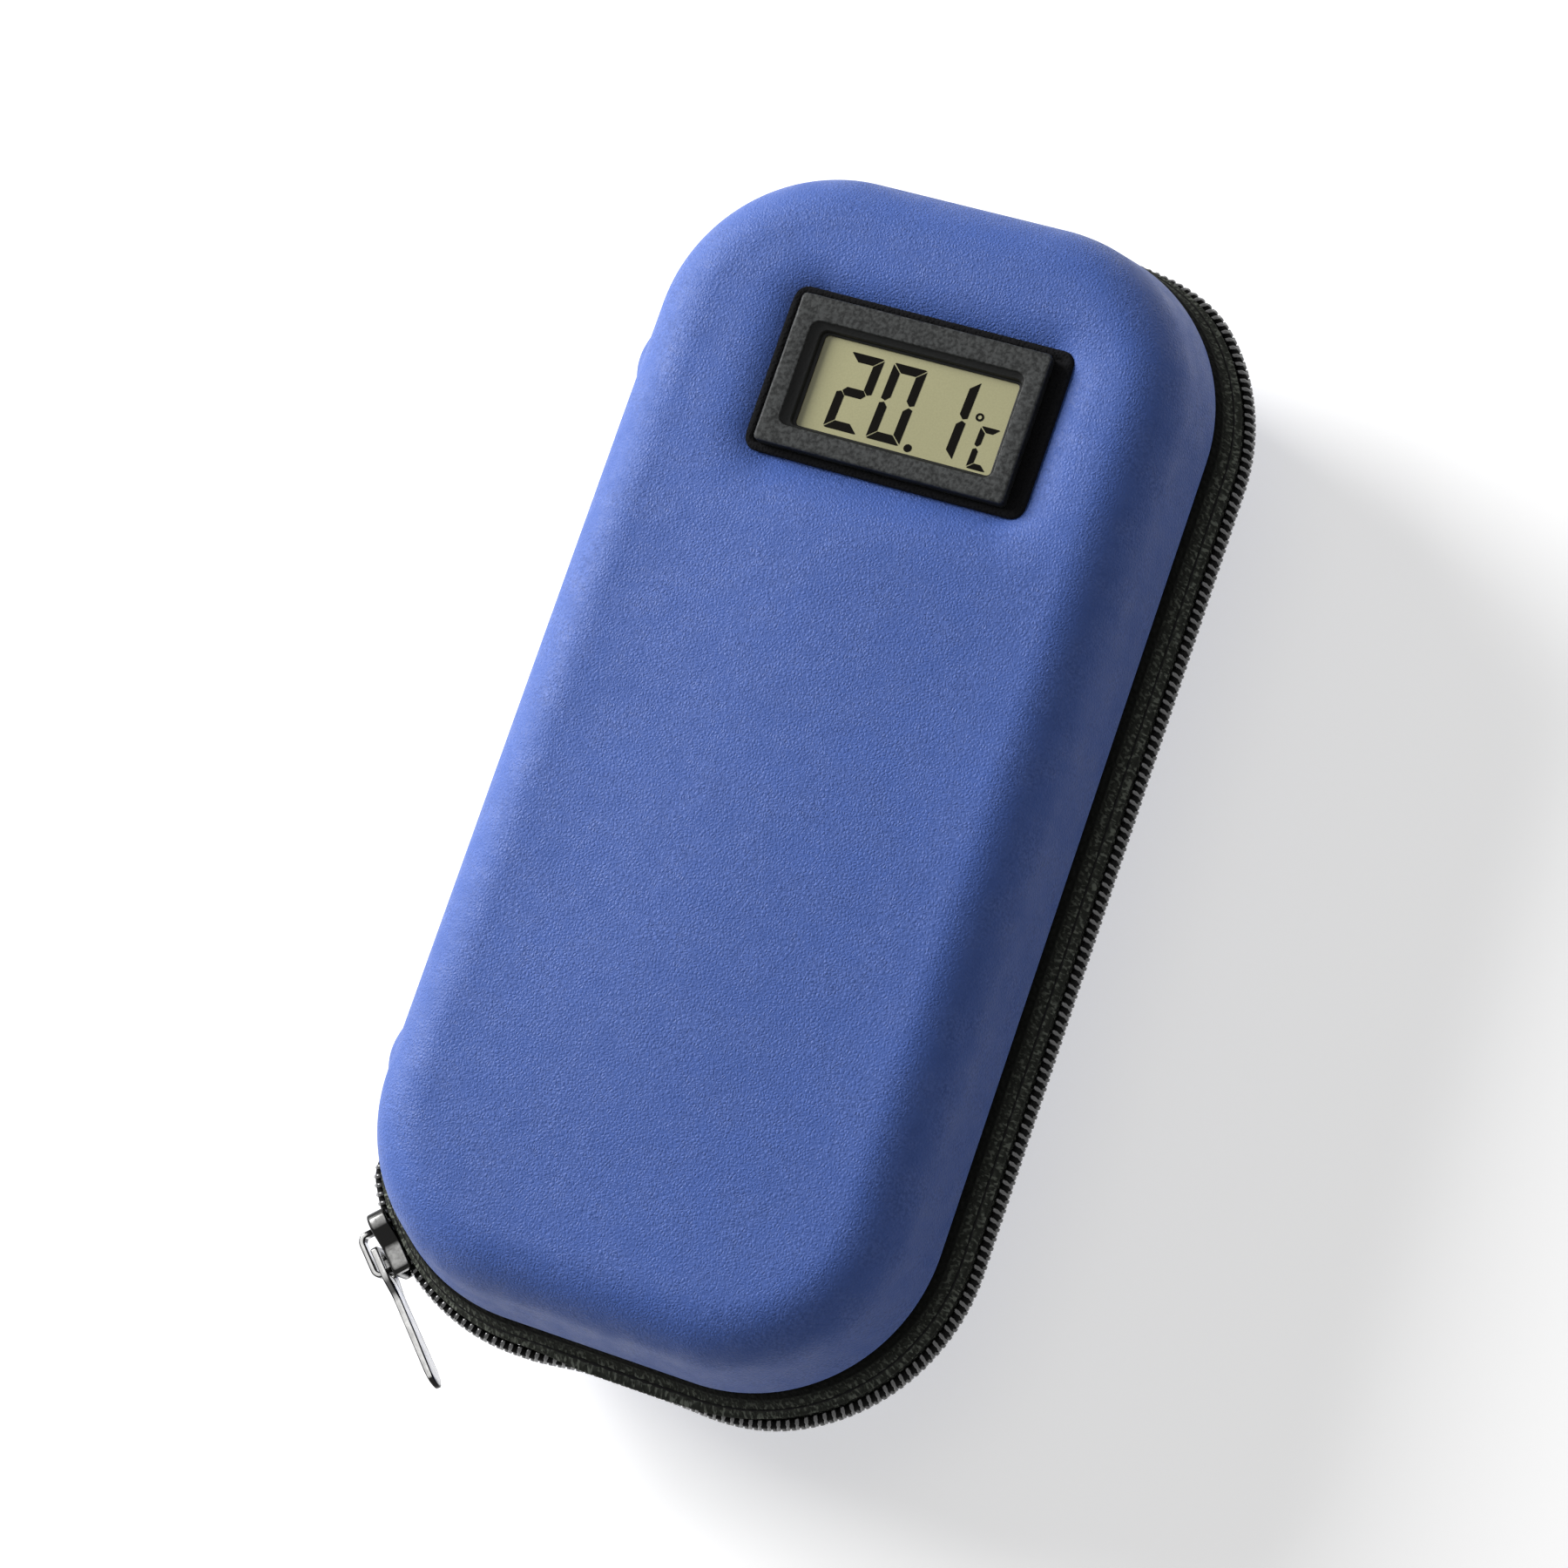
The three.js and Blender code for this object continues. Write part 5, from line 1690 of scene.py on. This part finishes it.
@dataclass(frozen=True)
class Slider:
    """The slider at its corner, its bridge, and the pull that hangs on it.

    Its own axes are x outwards from the coil, y back along the closed chain and z up.
    """

    turn: float = math.pi + math.radians(45.0)
    plate: float = 1.2
    outer: float = 0.5
    inner: float = 5.3
    rear: float = 4.1
    front: float = 6.4
    flange: float = 1.1
    rim: float = -2.0
    half_length: float = 6.0
    inner_short: float = 0.7
    widening: Pair = (-1.5, 3.5)
    nose_round: Pair = (2.2, 1.9)
    tail_round: Pair = (1.2, 0.9)
    end_round: float = 0.45
    end_shrink: float = 0.3
    bridge_half: Pair = (1.2, 0.55)
    pivot: float = 3.45
    pull_thickness: float = 1.2
    eye_middle: float = 3.05
    eye_half: Pair = (2.25, 2.05)
    eye_power: float = 5.0

    def place(self, points: np.ndarray, first: int = 0) -> np.ndarray:
        """Turns points from the slider's own axes into the row frame.

        Args:
            points: the points.
            first: where x stands among the three coordinates; y and z follow it.

        Returns:
            The points in the row frame.
        """
        out, back, up = np.moveaxis(np.roll(points, -first, -1), -1, 0)
        out = out + OUTLINE.corner
        x, y = OUTLINE.middle
        cos, sin = math.cos(self.turn), math.sin(self.turn)
        return np.stack([cos * out - sin * back - x, sin * out + cos * back - y,
                         ZIP_PLANE + up], -1)

    def half_width(self, along: np.ndarray, trim: float) -> np.ndarray:
        """Half width of a plate: narrow at the chain end, wide at the nose, rounded at both.

        Each end is rounded as a quarter ellipse, by its length and its depth.

        Args:
            along: y of the points.
            trim: what is taken off.

        Returns:
            The half widths.
        """
        half = self.rear + (self.front - self.rear) * ease(-along, *self.widening) - trim
        for way, (length, depth) in ((-along, self.nose_round), (along, self.tail_round)):
            share = np.clip((way - (self.half_length - length)) / length, 0, 1)
            half = half - depth * (1 - np.sqrt(1 - 0.98 * share ** 2))
        return half

    def shell(self) -> Skin:
        """Outer plate with its bent rims: a channel section carried from nose to tail.

        Near both ends the section shrinks towards its top as a quarter circle.

        Returns:
            The skin.
        """
        along = self.half_length * crowded(33)
        rim, top = self.rim, self.outer + self.plate
        unit = np.array([[1, rim, 0], [1, top, 0], [-1, top, 0], [-1, rim, 0],
                         [-1, rim, 1], [-1, self.outer, 1], [1, self.outer, 1], [1, rim, 1]])
        radii = np.array([0.4, 0.75, 0.75, 0.4, 0.4, 0.4, 0.4, 0.4])
        section = np.stack([
            fillet(np.stack([unit[:, 1], unit[:, 0] * (width - unit[:, 2] * self.flange)], -1),
                   radii) for width in self.half_width(along, 0.0)])
        ends = np.clip((self.half_length - np.abs(along)) / self.end_round, 0, 1)
        swell = 1 - self.end_shrink * (1 - np.sqrt(1 - (1 - ends) ** 2))
        depth = top - (top - section[..., 0]) * swell[:, None]
        along = np.broadcast_to(along[:, None], depth.shape)
        return Skin(self.place(np.stack([depth, along, section[..., 1]], -1)))

    def inner_plate(self) -> Skin:
        """Inner plate: a stack of plate outlines with round edges.

        Returns:
            The skin.
        """
        along = (self.half_length - self.inner_short) * crowded(25)
        half = self.half_width(along, self.flange)
        ring = np.stack([np.append(along, along[::-1]), np.append(half, -half[::-1])], -1)
        rises = np.array([0.0, 0.12, 0.4, 0.8, 1.08, 1.2])
        shrink = np.array([0.93, 0.985, 1.0, 1.0, 0.985, 0.93])[:, None, None]
        return Skin(self.place(layers(ring * shrink, rises - self.inner - self.plate), 2))

    def diamond(self) -> Skin:
        """The post between the plates, pointed towards the closed chain."""
        flat = fillet([[-4.6, -0.65], [-3.35, -1.3], [0.4, 0.0], [-3.35, 1.3], [-4.6, 0.65]], 0.5)
        return Skin(self.place(layers(flat, [-6.2, 1.2]), 2))

    def bridge(self) -> Skin:
        """The bridge: a rounded bar bent from foot to foot.

        Returns:
            The skin.
        """
        corners = [[1.9, 4.0], [4.9, 4.0], [5.55, 3.1], [5.55, -3.1], [4.9, -4.0], [1.9, -4.0]]
        path = fillet(corners, 1.4, 6, closed=False)
        path = np.concatenate([path, np.zeros((len(path), 1))], 1)
        unit = np.array([[-1, -1], [1, -1], [1, 1], [-1, 1]])
        section = fillet(unit * np.array(self.bridge_half), 0.4)
        return Skin(self.place(swept(path, section, (0.0, 0.0, 1.0)).points))

    def pull(self) -> Skin:
        """The pull: a flat bar with an eye, its outline joined to the eye's through both faces.

        The eye is where the sum of the shares of its half sizes, each to a power, is 1. Each
        ring goes round outline and eye at one share of the way; the rings run over the front
        face, in through the eye, over the back face and round the outer edge.

        Returns:
            The closed skin.
        """
        upper = np.array([[-0.8, 2.4], [-0.4, 3.2], [5.3, 3.2], [9.3, 1.7], [17.0, 1.95],
                          [26.1, 2.3], [27.5, 0.9]])
        edge = fillet(np.concatenate([upper, upper[::-1] * np.array([1.0, -1.0])]), 1.1, 6)
        middle = np.array([self.eye_middle, 0.0])
        ray = edge - middle
        ray /= np.linalg.norm(ray, axis=1, keepdims=True)
        reach = (np.abs(ray / self.eye_half) ** self.eye_power).sum(1) ** (-1 / self.eye_power)
        eye = middle + ray * reach[:, None]
        share = np.array([0.0, 0.02, 0.06, 0.5, 0.94, 0.98, 1.0])
        level = np.array([0.55, 0.85, 1.0, 1.0, 1.0, 0.85, 0.55]) * self.pull_thickness / 2
        share = np.append(share, share[::-1])[:, None, None]
        rings = layers(edge + (eye - edge) * share, self.pivot + np.append(level, -level))
        return Skin(self.place(rings, 2), closed=True)

    def build(self, finishes: Finishes) -> None:
        """Makes the slider's body, bridge and pull.

        Args:
            finishes: the case's finishes.
        """
        Piece("slider_plates", finishes.nickel, "nickel", "slider",
              ["slider_body"]).cover(self.shell(), self.inner_plate(), self.diamond())
        Piece("slider_bridge_bar", finishes.bright_nickel, "nickel", "slider",
              ["slider_bridge"]).cover(self.bridge())
        Piece("pull", finishes.bright_nickel, "nickel", "pull", ["pull_tab"]).cover(self.pull())


class Glyph(Enum):
    """What the panel can show in one place, as the lit bars of a seven-bar figure."""

    TWO = "abged"
    ZERO = "abcdef"
    ONE = "bc"
    CELSIUS = "adef"


@dataclass(frozen=True)
class Figure:
    """One figure of the reading: its place from the window's lower left corner, and its sizes."""

    glyph: Glyph
    left: float
    bottom: float = 0.5
    width: float = 6.4
    height: float = 14.7
    bar: float = 1.65
    gap: float = 0.13

    def corners(self, bar: str) -> np.ndarray:
        """Corners of one bar, mitred where bars meet.

        The figure is drawn with u to the right and v up, both in millimetres. The bar at the
        foot mirrors the one at the top, and three upright bars mirror the one at the upper
        right: a mirrored coordinate is the figure's size less the coordinate.

        Args:
            bar: its letter, a to g from the top clockwise, g in the middle.

        Returns:
            The corners.
        """
        w, h, t, gap = self.width, self.height, self.bar, self.gap
        half, middle, low = t / 2, h / 2, h / 2 + gap
        if bar == "g":
            flat = [[half + gap, middle], [t, middle + half], [w - t, middle + half],
                    [w - half - gap, middle], [w - t, middle - half], [t, middle - half]]
        elif bar in "ad":
            flat = [[gap + 0.25, h], [w - gap - 0.25, h], [w - gap, h - 0.12],
                    [w - t - gap, h - t], [t + gap, h - t], [gap, h - 0.12]]
        else:
            flat = [[w, h - gap - 0.2], [w, low + 0.3], [w - half, low], [w - t, low + half],
                    [w - t, h - t - gap], [w, h - gap - 0.2]]
        return np.abs(np.array(flat) - (w * (bar in "ef"), h * (bar in "cde")))


@dataclass(frozen=True)
class Thermometer:
    """The panel thermometer: framed housing, liquid crystal panel with its figures, inner parts.

    The window is a half size. Point and degree are a left, a bottom and a radius.
    """

    middle: Pair = MOULD.display
    window: Pair = (18.95, 8.95)
    panel_top: float = 64.9
    slant: float = 0.045
    ink_low: float = 0.02
    ink_top: float = 0.05
    figures: tuple[Figure, ...] = (
        Figure(Glyph.TWO, 6.1), Figure(Glyph.ZERO, 14.35),
        Figure(Glyph.ONE, 24.45, 0.4, height=15.4),
        Figure(Glyph.CELSIUS, 33.75, -0.1, 3.7, 8.1, 1.1))
    point: Triple = (22.5, 0.6, 0.75)
    degree: Triple = (33.3, 9.4, 0.78)
    degree_hole: float = 0.38

    def housing(self) -> Skin:
        """Frame and body as one skin of rounded rectangles: out, up, over the frame and down.

        The mouth lies a little below the frame's middle, and the well right of the mouth's.

        Returns:
            The closed skin.
        """
        frame_sizes = [
            (21.5, 11.7, 0.5, 65.0), (21.5, 11.7, 0.5, 58.0), (21.5, 11.7, 0.5, 54.6),
            (22.9, 13.1, 1.0, 54.6), (22.9, 13.1, 1.0, 58.0), (22.9, 13.1, 1.0, 64.1),
            (23.6, 13.9, 0.8, 64.1), (23.95, 14.25, 0.85, 64.2), (24.0, 14.3, 0.9, 64.5),
            (24.0, 14.3, 0.9, 66.6), (23.96, 14.26, 0.9, 66.82), (23.86, 14.16, 0.88, 66.97),
            (23.7, 14.0, 0.85, 67.06), (23.5, 13.8, 0.8, 67.1), (23.3, 13.6, 0.8, 67.1),
            (22.3, 12.1, 1.6, 67.1)]
        mouth_sizes = [
            (20.7, 10.3, 1.9, 67.1), (20.57, 10.17, 1.8, 67.06), (20.52, 10.12, 1.78, 66.95),
            (20.5, 10.1, 1.75, 66.6)]
        well_sizes = [
            (19.6, 9.4, 1.4, 66.4), (19.42, 9.3, 1.3, 66.3), (19.35, 9.22, 1.25, 66.1),
            (19.3, 9.2, 1.2, 65.4), (19.24, 9.15, 1.1, 65.25), (19.1, 9.05, 1.0, 65.2),
            (18.8, 8.85, 0.9, 65.2), (18.7, 8.8, 0.8, 65.15), (18.68, 8.78, 0.8, 65.05),
            (18.9, 8.9, 0.8, 65.0)]
        x, y = self.middle
        return Skin(np.concatenate([
            boxes(frame_sizes, (x, y), 6), boxes(mouth_sizes, (x, y - 0.4), 6),
            boxes(well_sizes, (x + 0.9, y - 0.75), 6)]), closed=True)

    def seal_and_shadow(self) -> Skin:
        """The foam ring on which the frame sits, pressed out round it as a bead.

        Past a gasket's width, most of all to the right, the black ring stands as a painted shadow
        of the frame on the dish.

        Returns:
            The closed skin.
        """
        # The ring is wider than a gasket and off centre towards +x and +y, as painted shadow of the
        # frame.
        sizes = [
            (22.9, 13.55, 0.9, 63.36), (26.65, 15.7, 2.0, 63.36), (26.95, 16.0, 2.3, 63.7),
            (26.91, 15.96, 2.3, 64.3), (26.6, 15.65, 2.0, 64.55), (26.05, 15.1, 1.5, 64.58),
            (25.3, 14.6, 1.1, 64.4), (25.2, 14.5, 1.0, 64.05), (22.9, 13.55, 0.9, 64.05)]
        x, y = self.middle
        return Skin(boxes(sizes, (x + 0.5, y + 0.25), 6), closed=True)

    def panel(self) -> Skin:
        """The glass of the panel with slightly broken edges.

        Returns:
            The skin.
        """
        sizes = [(20.2, 10.6, 0.4, 63.1), (20.3, 10.7, 0.5, 63.2), (20.3, 10.7, 0.5, 64.8),
                 (20.2, 10.6, 0.4, 64.9), (20.05, 10.45, 0.4, 64.9), (19.9, 10.3, 0.4, 64.9)]
        return Skin(boxes(sizes, self.middle))

    def corner(self, left: float, bottom: float) -> np.ndarray:
        """Where a figure starts on the panel, from its place in the window."""
        return np.array(self.middle) - self.window + (left, bottom)

    def lay(self, flat: np.ndarray, left: float, bottom: float) -> Skin:
        """A thin shape of ink on the panel: two outlines one above the other.

        The shape leans to the right by its slant times the height.

        Args:
            flat: its corners, in millimetres.
            left: where it starts, from the window's left edge.
            bottom: where it starts, above the window's lower edge.

        Returns:
            The skin.
        """
        leaning = flat + flat[:, 1:] * np.array([self.slant, 0.0])
        levels = [self.panel_top + self.ink_low, self.panel_top + self.ink_top]
        return Skin(layers(leaning + self.corner(left, bottom), levels))

    def reading(self) -> list[Skin]:
        """The reading and its unit, bar by bar.

        Returns:
            One skin for each bar, the point and the degree ring.
        """
        skins = [self.lay(figure.corners(bar), figure.left, figure.bottom)
                 for figure in self.figures for bar in figure.glyph.value]
        circle = np.stack([np.cos(turns(20)), np.sin(turns(20))], -1)
        skins.append(self.lay(circle * self.point[2], *self.point[:2]))
        radii = np.array([self.degree[2], self.degree[2], self.degree_hole, self.degree_hole])
        rises = np.array([self.ink_low, self.ink_top, self.ink_top, self.ink_low])
        rings = circle * radii[:, None, None] + self.corner(*self.degree[:2])
        skins.append(Skin(layers(rings, self.panel_top + rises), closed=True))
        return skins

    def build(self, finishes: Finishes) -> None:
        """Makes the housing, seal, panel and figures, and dresses the parts behind them.

        Args:
            finishes: the case's finishes.
        """
        Piece("thermometer_housing", finishes.bezel, "bezel_plastic", "lid",
              ["display_housing"]).cover(self.housing())
        # The seal ring: a foam gasket that also stands as a painted shadow of the frame on the
        # dish.
        Piece("thermometer_seal_and_shadow", finishes.seal_and_shadow, "black_tape", "lid", []).cover(self.seal_and_shadow())
        Piece("thermometer_panel", finishes.glass, "lcd_glass", "lid",
              ["lcd_panel"]).cover(self.panel())
        Piece("thermometer_reading", finishes.ink, "lcd_glass", "lid", [],
              smooth=False).cover(*self.reading())
        dressed = {
            "display_back_cover": finishes.bezel, "battery_door": finishes.bezel,
            "display_board": finishes.mask, "lcd_connector": finishes.rubber,
            "thermistor": finishes.ink, "left_button_cell": finishes.steel,
            "right_button_cell": finishes.steel, "left_cell_contact": finishes.brass,
            "right_cell_contact": finishes.brass}
        for name, finish in dressed.items():
            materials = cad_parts[name].data.materials
            materials.clear()
            materials.append(finish)


@dataclass(frozen=True)
class Spine:
    """The cloth hinge on the long side, puffed at both ends, and the knit strip inside it."""

    half_length: float = 78.0
    reach: float = 11.2
    thickness: float = 1.6
    lining_depths: Pair = (2.2, 3.0)
    middle_inset: float = 0.6
    flare: float = 1.9
    flare_length: float = 16.0
    end_round: float = 0.8
    bend_half: float = 11.2

    def section(self, place: np.ndarray, lean: np.ndarray, inside: float) -> np.ndarray:
        """x of the strip: drawn in at the rims, rounded outwards between them.

        The inset is the rim's inset less a cosine of the lean, whose height grows near each end
        by a flare that rises and falls as a squared sine.

        Args:
            place: y of the rows.
            lean: from -1 at the lower rim to 1 at the upper rim.
            inside: depth below the outer face.

        Returns:
            x for each row and lean.
        """
        near = np.clip((self.half_length - np.abs(place)) / self.flare_length, 0, 1)
        flare = self.flare * np.sin(math.pi * np.sqrt(1 - near) * (1 - near / 2)) ** 2
        crown = np.cos(lean * math.pi / 2)[None, :]
        puff = (MOULD.rim_inset - self.middle_inset + flare[:, None]) * crown
        return -OUTLINE.width / 2 + MOULD.rim_inset - puff + inside

    def strip(self, outer: float, inner: float, reach: float) -> Skin:
        """A strip between two depths, which thins as a quarter circle at its ends and rims.

        Args:
            outer: depth of its outer face.
            inner: depth of its inner face.
            reach: how far its rims lie from the zip plane.

        Returns:
            The skin.
        """
        place = self.half_length * crowded(181)
        lean = np.linspace(-1, 1, 41)
        front, back = self.section(place, lean, outer), self.section(place, lean, inner)
        middle = (front + back) / 2
        near = np.clip((self.half_length - np.abs(place)) / self.end_round, 0, 1)
        end = np.sqrt(1 - (1 - near) ** 2)[:, None]
        past = np.clip((np.abs(lean) - 0.93) / 0.07, 0, 1)
        share = np.maximum(end, 0.15) * np.sqrt(np.clip(1 - past ** 2, 0.05, 1))
        front, back = middle + (front - middle) * share, middle + (back - middle) * share
        x = np.concatenate([front, back[:, ::-1]], 1)
        z = ZIP_PLANE + np.append(lean, lean[::-1]) * reach
        return Skin(np.stack(np.broadcast_arrays(x, place[:, None], z), -1))

    def build(self, finishes: Finishes) -> None:
        """Makes the strip and its lining, both spanning from the base to the lid on no body.

        Args:
            finishes: the case's finishes.
        """
        cloth = Piece("spine_cloth", finishes.blue_cloth, "blue_cloth", None,
                      ["spine_fabric"]).cover(self.strip(0.0, self.thickness, self.reach))
        lining = Piece("spine_knit", finishes.lining, "dark_lining", None,
                       ["spine_lining"]).cover(self.strip(*self.lining_depths, self.reach - 0.1))
        for piece in (cloth, lining):
            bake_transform(piece)


@dataclass(frozen=True)
class Lamp:
    """A square soft lamp that faces the case.

    Its direction runs from the case to it. Its distance and side are in metres, its power in
    watts.
    """

    name: str
    towards: Triple
    distance: float
    side: float
    power: float

    def build(self) -> None:
        """Makes the lamp."""
        data = bpy.data.lights.new(self.name, "AREA")
        data.shape = "SQUARE"
        data.size = self.side
        data.energy = self.power
        back = Vector(self.towards).normalized()
        turn = back.to_track_quat("Z", "Y").to_matrix().to_4x4()
        put(self.name, data).matrix_world = Matrix.Translation(back * self.distance) @ turn


@dataclass(frozen=True)
class Studio:
    """Pale floor, soft lamps, background and the camera that the photograph had."""

    target: Triple = (-5.761, -1.003, 33.0)
    azimuth: float = 63.69
    elevation: float = 70.552
    roll: float = -45.85
    distance: float = 739.853
    lens: float = 92.5026
    ambience: float = 0.13
    floor_half: float = 3000.0
    lamps: tuple[Lamp, ...] = (Lamp("key_softbox", (-0.84, 0.24, 0.48), 1.6, 0.8, 39.0),
                               Lamp("top_softbox", (-0.05, 0.3, 1.0), 1.8, 1.2, 2.5))

    def camera(self) -> None:
        """Places the camera on its sight line, turned by its roll about that line."""
        data = bpy.data.cameras.new("camera")
        data.sensor_width = 36.0
        data.lens = self.lens
        data.clip_start = 0.01
        data.clip_end = 20.0
        place = Matrix.Translation(Vector(self.target) * MM)
        for degrees, axis in ((self.azimuth, "Z"), (90.0 - self.elevation, "X"), (self.roll, "Z")):
            place @= Matrix.Rotation(math.radians(degrees), 4, axis)
        camera = put("camera", data)
        camera.matrix_world = place @ Matrix.Translation((0.0, 0.0, self.distance * MM))
        bpy.context.scene.camera = camera

    def world(self) -> None:
        """Soft light all round, and plain white wherever the camera or a reflection sees it."""
        world = bpy.data.worlds.new("studio")
        board = Board(world)
        white = (1.0, 1.0, 1.0, 1.0)
        soft = board.tree.nodes["Background"]
        board.feed(soft, {"Color": white, "Strength": self.ambience})
        plain = board.node("ShaderNodeBackground", {"Color": white, "Strength": 1.0})
        rays = board.node("ShaderNodeLightPath", {}).outputs
        seen = rays["Is Camera Ray"]
        for kind in ("Is Glossy Ray", "Is Transmission Ray"):
            seen = board.calc("MAXIMUM", seen, rays[kind])
        mixed = board.node("ShaderNodeMixShader",
                           {0: seen, 1: soft.outputs[0], 2: plain.outputs[0]})
        board.feed(board.tree.nodes["World Output"], {"Surface": mixed.outputs[0]})
        bpy.context.scene.world = world

    def floor(self) -> None:
        """Lays a pale floor with a fine paper grain under the case.

        Far from the case it glows for the camera, so that it ends in the white background.
        """
        square = self.floor_half * np.array([[-1, -1], [1, -1], [1, 1], [-1, 1]])
        material = bpy.data.materials.new("pale_floor")
        board = Board(material)
        rays = board.node("ShaderNodeLightPath", {}).outputs
        seen = board.calc("MAXIMUM", rays["Is Camera Ray"], rays["Is Glossy Ray"])
        away = board.node("ShaderNodeVectorMath", {0: board.coords(Space.OBJECT)},
                          operation="LENGTH").outputs["Value"]
        board.dress({
            "Base Color": board.blend(board.noise(board.coords(Space.OBJECT), 900.0),
                                      (0.80, 0.80, 0.80, 1.0), (0.83, 0.83, 0.83, 1.0)),
            "Roughness": 0.9, "Specular IOR Level": 0.1, "Emission Color": (1.0, 1.0, 1.0, 1.0),
            "Emission Strength": board.times(seen, board.spread(away, 0.55, 1.0, 0.2, 0.9))})
        verts, quads, others, _ = Skin(layers(square, [-2.0, -0.05])).faces()
        mesh = to_mesh("pale_floor", verts, quads.tolist() + others)
        mesh.materials.append(material)
        mesh.update()
        put("pale_floor", mesh)

    def build(self) -> None:
        """Sets up the whole studio."""
        self.camera()
        self.world()
        self.floor()
        for lamp in self.lamps:
            lamp.build()
        bpy.context.scene.view_settings.view_transform = "Standard"


def main() -> None:
    """Builds the case, its studio and the camera, and reports each piece."""
    logging.basicConfig(level=logging.INFO, format="%(message)s")
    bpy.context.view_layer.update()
    finishes = Finishes()
    parts = (Halves(), *(Zip(side) for side in Side), Contents(), Slider(), Thermometer(), Spine())
    for part in parts:
        part.build(finishes)
    Studio().build()


if __name__ == "__main__":
    main()
